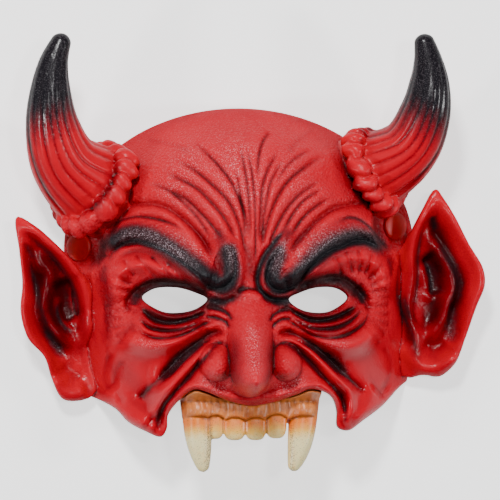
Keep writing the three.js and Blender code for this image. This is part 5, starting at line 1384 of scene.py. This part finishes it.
def paintTeeth(piece):
    look = teethPaint
    x, y, z = pointsOf(piece).T
    fine, broad = hollowness(piece, 6), hollowness(piece, 40)
    below = gumLine(x) - y
    fang = np.abs(x - 2) > 18.6
    fade = np.where(fang, smoothStep(below, *look["fangFade"]),
                    smoothStep(below, *look["toothFade"]) * look["toothTip"])
    inner = np.where(x < 2, smoothStep(x, -21.5, -18.6), smoothStep(-x, -23.5, -20.5))
    paintLayers(
        piece,
        tip=fade,
        gum=smoothStep(-below, -0.5, 0.5),
        # Painted shade in the hollows between the teeth and along the gum.
        recess=counted(fine, *look["recess"]["fine"]) + counted(broad, *look["recess"]["broad"]),
        stain=inner * np.where(fang, 1, 0) * smoothStep(-y, *look["stain"]),
    )


# Nodes are laid out by these short helpers.
def mathNode(tree, operation, *values, clamp=False):
    node = tree.nodes.new("ShaderNodeMath")
    node.operation = operation
    node.use_clamp = clamp
    for socket, value in zip(node.inputs, values):
        if isinstance(value, (int, float)):
            socket.default_value = value
        else:
            tree.links.new(value, socket)
    return node.outputs[0]


# What a value has above low, times gain, held between 0 and 1.
def above(tree, value, low, gain):
    return mathNode(tree, "MULTIPLY", mathNode(tree, "SUBTRACT", value, low), gain, clamp=True)


def mixColour(tree, share, first, second):
    node = tree.nodes.new("ShaderNodeMix")
    node.data_type = "RGBA"
    for socket, value in ((node.inputs[0], share), (node.inputs[6], first), (node.inputs[7], second)):
        if isinstance(value, tuple):
            socket.default_value = (*value, 1)
        else:
            tree.links.new(value, socket)
    return node.outputs[2]


def noiseIn(tree, place, scale, detail, rough):
    node = tree.nodes.new("ShaderNodeTexNoise")
    node.inputs["Scale"].default_value = scale
    node.inputs["Detail"].default_value = detail
    node.inputs["Roughness"].default_value = rough
    tree.links.new(place, node.inputs["Vector"])
    return node.outputs["Fac"]


def objectPlace(tree):
    return tree.nodes.new("ShaderNodeTexCoord").outputs["Object"]


def paintedValue(tree, name):
    node = tree.nodes.new("ShaderNodeAttribute")
    node.attribute_name = name
    return node.outputs["Fac"]


def newMaterial(name):
    material = bpy.data.materials.new(name)
    material.use_nodes = True
    return material, material.node_tree, material.node_tree.nodes["Principled BSDF"]


# Gives a shader its relief: how strong it is, and how deep in metres.
def addRelief(tree, shader, height, strength, depth):
    bump = tree.nodes.new("ShaderNodeBump")
    bump.inputs["Strength"].default_value = strength
    bump.inputs["Distance"].default_value = depth
    tree.links.new(height, bump.inputs["Height"])
    tree.links.new(bump.outputs["Normal"], shader.inputs["Normal"])


# A node group of plain numbers: its inputs with their values, and its outputs.
def newGroup(name, inputs, outputs):
    group = bpy.data.node_groups.new(name, "ShaderNodeTree")
    for label, value in inputs.items():
        socket = group.interface.new_socket(label, in_out="INPUT", socket_type="NodeSocketFloat")
        socket.default_value = value
    for label in outputs:
        group.interface.new_socket(label, in_out="OUTPUT", socket_type="NodeSocketFloat")
    return group, group.nodes.new("NodeGroupInput"), group.nodes.new("NodeGroupOutput")


grainLook = {
    "poreDetail": 3, "pore": 0.9, "wrinkle": 0.55, "wrinkleEdge": 3.2,
    "warpScale": 260, "warp": 0.0022,  # how fast and how far the wrinkles wander, the latter in metres
    "speck": (1700, 2, 0.65),  # scale, detail and roughness of the noise
    "speckFrom": 0.53, "speckGain": 9,
}


# Moulded grain: fine pores with a network of tiny wrinkles between them, as a height, and a mask of fine
# specks, which the latex uses for its painted glints, the grey on its black and its rougher flecks.
def makeGrain():
    look = grainLook
    sizes = {"Amount": 1.0, "Pore Size": 0.9, "Wrinkle Size": 2.2}
    group, given, result = newGroup("mouldedGrain", sizes, ["Height", "Speck"])
    place = objectPlace(group)
    poreScale = mathNode(group, "DIVIDE", 1000, given.outputs["Pore Size"])
    wrinkleScale = mathNode(group, "DIVIDE", 1000, given.outputs["Wrinkle Size"])
    pores = group.nodes.new("ShaderNodeTexNoise")
    pores.inputs["Detail"].default_value = look["poreDetail"]
    wrinkles = group.nodes.new("ShaderNodeTexVoronoi")
    wrinkles.feature = "DISTANCE_TO_EDGE"
    group.links.new(place, pores.inputs["Vector"])
    group.links.new(poreScale, pores.inputs["Scale"])
    warp = group.nodes.new("ShaderNodeTexNoise")
    warp.inputs["Scale"].default_value = look["warpScale"]
    group.links.new(place, warp.inputs["Vector"])
    shifted = group.nodes.new("ShaderNodeVectorMath")
    shifted.operation = "MULTIPLY_ADD"
    group.links.new(warp.outputs["Color"], shifted.inputs[0])
    shifted.inputs[1].default_value = [look["warp"]] * 3
    group.links.new(place, shifted.inputs[2])
    group.links.new(shifted.outputs[0], wrinkles.inputs["Vector"])
    group.links.new(wrinkleScale, wrinkles.inputs["Scale"])
    edge = mathNode(group, "MULTIPLY", wrinkles.outputs["Distance"], look["wrinkleEdge"], clamp=True)
    poreHeight = mathNode(group, "MULTIPLY", pores.outputs["Fac"], look["pore"])
    both = mathNode(group, "MULTIPLY_ADD", edge, look["wrinkle"], poreHeight)
    group.links.new(mathNode(group, "MULTIPLY", both, given.outputs["Amount"]), result.inputs["Height"])
    fine = noiseIn(group, place, *look["speck"])
    group.links.new(above(group, fine, look["speckFrom"], look["speckGain"]), result.inputs["Speck"])
    return group


sprayLook = {
    "drops": (1500, 3, 0.7), "patches": (240, 2, 0.5), "patchShare": 0.6,
    "sharpFrom": 0.08, "sharpGain": 1.15, "keep": 6,
}


# Sprayed paint, and painted shade laid the same way: a mask whose edge breaks up into fine droplets.
def makeSpray():
    look = sprayLook
    group, given, result = newGroup("sprayEdge", {"Mask": 0.0, "Break Up": 0.5}, ["Mask"])
    place = objectPlace(group)
    drops, patches = noiseIn(group, place, *look["drops"]), noiseIn(group, place, *look["patches"])
    drops = mathNode(group, "SUBTRACT", drops, 0.5)
    patches = mathNode(group, "MULTIPLY", mathNode(group, "SUBTRACT", patches, 0.5), look["patchShare"])
    loose = mathNode(group, "ADD", drops, patches)
    pushed = mathNode(group, "MULTIPLY_ADD", loose, given.outputs["Break Up"], given.outputs["Mask"])
    sharp = above(group, pushed, look["sharpFrom"], look["sharpGain"])
    keep = mathNode(group, "MULTIPLY", given.outputs["Mask"], look["keep"], clamp=True)
    group.links.new(mathNode(group, "MULTIPLY", sharp, keep), result.inputs["Mask"])
    return group


grainGroup = makeGrain()
sprayGroup = makeSpray()


def placeGroup(tree, group, values):
    node = tree.nodes.new("ShaderNodeGroup")
    node.node_tree = group
    for name, value in values.items():
        node.inputs[name].default_value = value
    return node


latexLook = {
    # The lighter crest red is a painted highlight, the darkest recess red is painted shade, the pale speck
    # is painted glints on the grain, and the grey on the black is partly wear and partly painted sheen.
    "red": (0.60, 0.0, 0.014), "deepRed": (0.085, 0.0, 0.003), "crestRed": (0.80, 0.002, 0.022),
    "recessRed": (0.018, 0.0, 0.0), "black": (0.008, 0.008, 0.011), "blackWearAndSheen": (0.42, 0.41, 0.45),
    "glintSpeck": (0.95, 0.46, 0.50), "inside": (0.25, 0.006, 0.008),
    "grain": {"Pore Size": 1.1, "Wrinkle Size": 2.3}, "relief": 0.00036,  # mm, and metres
    "glint": 0.05, "rubbed": 0.6,  # how much pale speck the plain grain shows as painted glints, and how much the red of the painted highlight strokes
    # How much the random mottle, the painted highlight, the washed-in red and the painted shade count, and
    # from where the painted shade turns darkest.
    "mottle": 0.18, "crest": 0.8, "wash": 0.8, "shade": 1.15, "deepFrom": 0.6, "deepGain": 1.1,
    "washEdge": 0.25, "blackEdge": 0.4, "blackCover": 1.7,  # how broken the edges are, and how full
    "blotches": (55, 3, 0.55),  # scale, detail and roughness of the noise
    "roughness": (0.21, 0.26), "flecks": 0.22, "uneven": 0.22, "matt": 0.4, "insideMatt": 0.25,
    "shine": 0.25,
}


def latexMaterial():
    look = latexLook
    material, tree, shader = newMaterial("latexSkin")
    place = objectPlace(tree)
    grain = placeGroup(tree, grainGroup, look["grain"])
    speck = grain.outputs["Speck"]
    grainy = paintedValue(tree, "grainy")
    tree.links.new(mathNode(tree, "MULTIPLY_ADD", grainy, 0.95, 0.05), grain.inputs["Amount"])
    recess, crest = paintedValue(tree, "recess"), paintedValue(tree, "crest")
    blotches = noiseIn(tree, place, *look["blotches"])
    mottled = mathNode(tree, "MULTIPLY", above(tree, blotches, 0.42, 2.0), look["mottle"])
    colour = mixColour(tree, mottled, look["red"], look["deepRed"])
    # Painted highlight: a lighter red on the crests.
    lit = mathNode(tree, "MULTIPLY", crest, look["crest"], clamp=True)
    colour = mixColour(tree, lit, colour, look["crestRed"])
    # Painted glints: pale specks on the grain, strongest under the painted highlight strokes.
    glintAmount = mathNode(tree, "MULTIPLY_ADD", paintedValue(tree, "rubbed"), look["rubbed"],
                       mathNode(tree, "MULTIPLY", grainy, look["glint"]))
    glint = mathNode(tree, "MULTIPLY", speck, glintAmount, clamp=True)
    colour = mixColour(tree, glint, colour, look["glintSpeck"])
    # Dark red in the hollows: the washed-in red and the painted shade, turning darkest where they are
    # strongest.
    wash = placeGroup(tree, sprayGroup, {"Break Up": look["washEdge"]})
    tree.links.new(paintedValue(tree, "wash"), wash.inputs["Mask"])
    shade = mathNode(tree, "MULTIPLY_ADD", wash.outputs["Mask"], look["wash"], recess)
    dark = mathNode(tree, "MULTIPLY", shade, look["shade"], clamp=True)
    colour = mixColour(tree, dark, colour, look["deepRed"])
    darkest = above(tree, shade, look["deepFrom"], look["deepGain"])
    colour = mixColour(tree, darkest, colour, look["recessRed"])
    # Black on the brows and the horn tips, thinned and speckled grey where it is worn and where a painted
    # sheen lies on it.
    spray = placeGroup(tree, sprayGroup, {"Break Up": look["blackEdge"]})
    tree.links.new(paintedValue(tree, "blackPaint"), spray.inputs["Mask"])
    uncovered = mathNode(tree, "SUBTRACT", 1, spray.outputs["Mask"], clamp=True)
    cover = mathNode(tree, "SUBTRACT", 1, mathNode(tree, "POWER", uncovered, look["blackCover"]))
    worn = paintedValue(tree, "worn")
    thinned = mathNode(tree, "MULTIPLY", worn, mathNode(tree, "MULTIPLY_ADD", speck, 0.12, 0.04))
    cover = mathNode(tree, "SUBTRACT", cover, thinned, clamp=True)
    grey = mathNode(tree, "MULTIPLY", speck, mathNode(tree, "MULTIPLY_ADD", worn, 0.8, 0.06))
    black = mixColour(tree, grey, look["black"], look["blackWearAndSheen"])
    colour = mixColour(tree, cover, colour, black)
    inside = paintedValue(tree, "inside")
    colour = mixColour(tree, inside, colour, look["inside"])
    tree.links.new(colour, shader.inputs["Base Color"])
    low, high = look["roughness"]
    rough = mathNode(tree, "MULTIPLY_ADD", grainy, high - low, low)
    flecks = mathNode(tree, "MULTIPLY", mathNode(tree, "SUBTRACT", 1, speck), grainy)
    rough = mathNode(tree, "MULTIPLY_ADD", flecks, look["flecks"], rough)
    rough = mathNode(tree, "MULTIPLY_ADD", mathNode(tree, "SUBTRACT", blotches, 0.5), look["uneven"], rough)
    rough = mathNode(tree, "MULTIPLY_ADD", paintedValue(tree, "matt"), look["matt"], rough)
    rough = mathNode(tree, "MULTIPLY_ADD", inside, look["insideMatt"], rough, clamp=True)
    tree.links.new(rough, shader.inputs["Roughness"])
    shader.inputs["Specular IOR Level"].default_value = look["shine"]
    addRelief(tree, shader, grain.outputs["Height"], 1.0, look["relief"])
    return material


toothLook = {
    # The darkest brown is painted shade in the hollows between the teeth and the gum.
    "gum": (0.60, 0.14, 0.025), "gumLight": (0.88, 0.30, 0.07), "root": (0.92, 0.20, 0.008),
    "middle": (1.0, 0.53, 0.09), "tip": (1.0, 0.84, 0.42), "toothShade": (0.10, 0.028, 0.008),
    "speck": (0.16, 0.07, 0.03), "specks": 0.55, "stain": 0.8, "toothShadeShare": 0.95,
    "blotches": (130, 3, 0.6), "tipEdge": (420, 3, 0.6), "grains": (1700, 2, 0.6),
    "grain": {"Amount": 0.45, "Pore Size": 1.1, "Wrinkle Size": 4.0}, "relief": (0.35, 0.0002),
}


def toothMaterial():
    look = toothLook
    material, tree, shader = newMaterial("toothCast")
    place = objectPlace(tree)
    blotches = noiseIn(tree, place, *look["blotches"])
    gum = mixColour(tree, above(tree, blotches, 0.35, 2.2), look["gum"], look["gumLight"])
    uneven = mathNode(tree, "SUBTRACT", noiseIn(tree, place, *look["tipEdge"]), 0.5)
    uneven = mathNode(tree, "MULTIPLY", uneven, 0.5)
    fade = mathNode(tree, "ADD", paintedValue(tree, "tip"), uneven, clamp=True)
    tooth = mixColour(tree, mathNode(tree, "MULTIPLY", fade, 2, clamp=True), look["root"], look["middle"])
    tooth = mixColour(tree, above(tree, fade, 0.5, 2), tooth, look["tip"])
    colour = mixColour(tree, paintedValue(tree, "gum"), tooth, gum)
    grains = noiseIn(tree, place, *look["grains"])
    specks, stained = above(tree, grains, 0.6, 14), above(tree, grains, 0.47, 10)
    colour = mixColour(tree, mathNode(tree, "MULTIPLY", specks, look["specks"]), colour, look["speck"])
    stain = mathNode(tree, "MULTIPLY", paintedValue(tree, "stain"), look["stain"])
    colour = mixColour(tree, mathNode(tree, "MULTIPLY", stained, stain), colour, look["speck"])
    # Painted shade in the hollows between the teeth and along the gum.
    toothShade = mathNode(tree, "MULTIPLY", paintedValue(tree, "recess"), look["toothShadeShare"], clamp=True)
    colour = mixColour(tree, toothShade, colour, look["toothShade"])
    tree.links.new(colour, shader.inputs["Base Color"])
    tree.links.new(mathNode(tree, "MULTIPLY_ADD", blotches, 0.25, 0.25), shader.inputs["Roughness"])
    shader.inputs["Subsurface Weight"].default_value = 0.12
    shader.inputs["Subsurface Radius"].default_value = (0.002, 0.001, 0.0006)
    grain = placeGroup(tree, grainGroup, look["grain"])
    addRelief(tree, shader, grain.outputs["Height"], *look["relief"])
    return material


studLook = {
    "red": (0.66, 0.002, 0.004), "dull": (0.50, 0.002, 0.004), "scuffs": (500, 4, 0.65),
    "grain": {"Amount": 0.2, "Pore Size": 1.2, "Wrinkle Size": 5.0}, "relief": (0.25, 0.00015),
}


def studMaterial():
    look = studLook
    material, tree, shader = newMaterial("studEnamel")
    scuffs = noiseIn(tree, objectPlace(tree), *look["scuffs"])
    colour = mixColour(tree, above(tree, scuffs, 0.45, 2.5), look["red"], look["dull"])
    tree.links.new(colour, shader.inputs["Base Color"])
    tree.links.new(mathNode(tree, "MULTIPLY_ADD", scuffs, 0.25, 0.33), shader.inputs["Roughness"])
    grain = placeGroup(tree, grainGroup, look["grain"])
    addRelief(tree, shader, grain.outputs["Height"], *look["relief"])
    return material


def coat(piece, material):
    piece.data.materials.clear()
    piece.data.materials.append(material)
    piece.data.polygons.foreach_set("material_index", np.zeros(len(piece.data.polygons), np.int32))


mask = maskPiece()
thin(mask, maskShape["triangles"])
dropScraps(mask)
paintMask(mask)
print("mask painted")
coat(mask, latexMaterial())
finishPiece(mask, "mask_shell")
print("mask triangles", triangleCount(mask))

teethCast = teethPiece()
thin(teethCast, teethShape["triangles"])
paintTeeth(teethCast)
coat(teethCast, toothMaterial())
finishPiece(teethCast, "teeth")
print("teeth triangles", triangleCount(teethCast))

studEnamel = studMaterial()
for side, place in zip(("Left", "Right"), studPlaces):
    stud = studPiece("stud" + side, place)
    coat(stud, studEnamel)
    finishPiece(stud, "stud_" + side.lower())
print("studs set in their holes")

studio = {
    "floor": (0.93, 0.93, 0.93), "floorGlow": 0.03, "seenGlow": 1.2, "world": 0.02,
    "cameraTurn": 5,  # degrees to the left of straight above
    "cameraAway": 2,  # metres from the place that it aims at
    "aim": (1.6, 0, 45), "lens": 300,  # mm
    "lights": [  # place, size and power of each soft light
        ((-0.3, 0.85, 1.3), 0.2, 22), ((1.1, -0.15, 0.8), 0.17, 7), ((-1.1, -0.25, 0.75), 0.17, 7),
        ((0.25, 0.15, 1.9), 0.14, 7),
    ],
}
bpy.ops.mesh.primitive_plane_add(size=8)
floor = bpy.context.object
floor.name = "floor"
paper, paperTree, paperShader = newMaterial("paper")
paperShader.inputs["Base Color"].default_value = (*studio["floor"], 1)
paperShader.inputs["Roughness"].default_value = 0.9
paperShader.inputs["Emission Color"].default_value = (1, 1, 1, 1)
# The floor glows more where it is looked at than it lights the mask.
seen = paperTree.nodes.new("ShaderNodeLightPath").outputs["Is Camera Ray"]
glow = mathNode(paperTree, "MULTIPLY_ADD", seen, studio["seenGlow"], studio["floorGlow"])
paperTree.links.new(glow, paperShader.inputs["Emission Strength"])
floor.data.materials.append(paper)

camera = bpy.data.objects.new("camera", bpy.data.cameras.new("camera"))
bpy.context.scene.collection.objects.link(camera)
turn = math.radians(studio["cameraTurn"])
target = Vector(faceShift + studio["aim"]) / 1000
camera.location = target + studio["cameraAway"] * Vector((-math.sin(turn), 0, math.cos(turn)))
camera.rotation_euler = (0, -turn, 0)
camera.data.lens = studio["lens"]
camera.data.sensor_width = 36
bpy.context.scene.camera = camera
for number, (place, size, power) in enumerate(studio["lights"]):
    light = bpy.data.objects.new(f"softLight{number}", bpy.data.lights.new(f"softLight{number}", "AREA"))
    light.data.energy = power
    light.data.size = size
    light.location = place
    light.rotation_euler = (-Vector(place)).to_track_quat("-Z", "Y").to_euler()
    bpy.context.scene.collection.objects.link(light)
world = bpy.data.worlds.new("studio")
world.use_nodes = True
world.node_tree.nodes["Background"].inputs["Color"].default_value = (1, 1, 1, 1)
world.node_tree.nodes["Background"].inputs["Strength"].default_value = studio["world"]
bpy.context.scene.world = world
print("floor, camera and lights set")
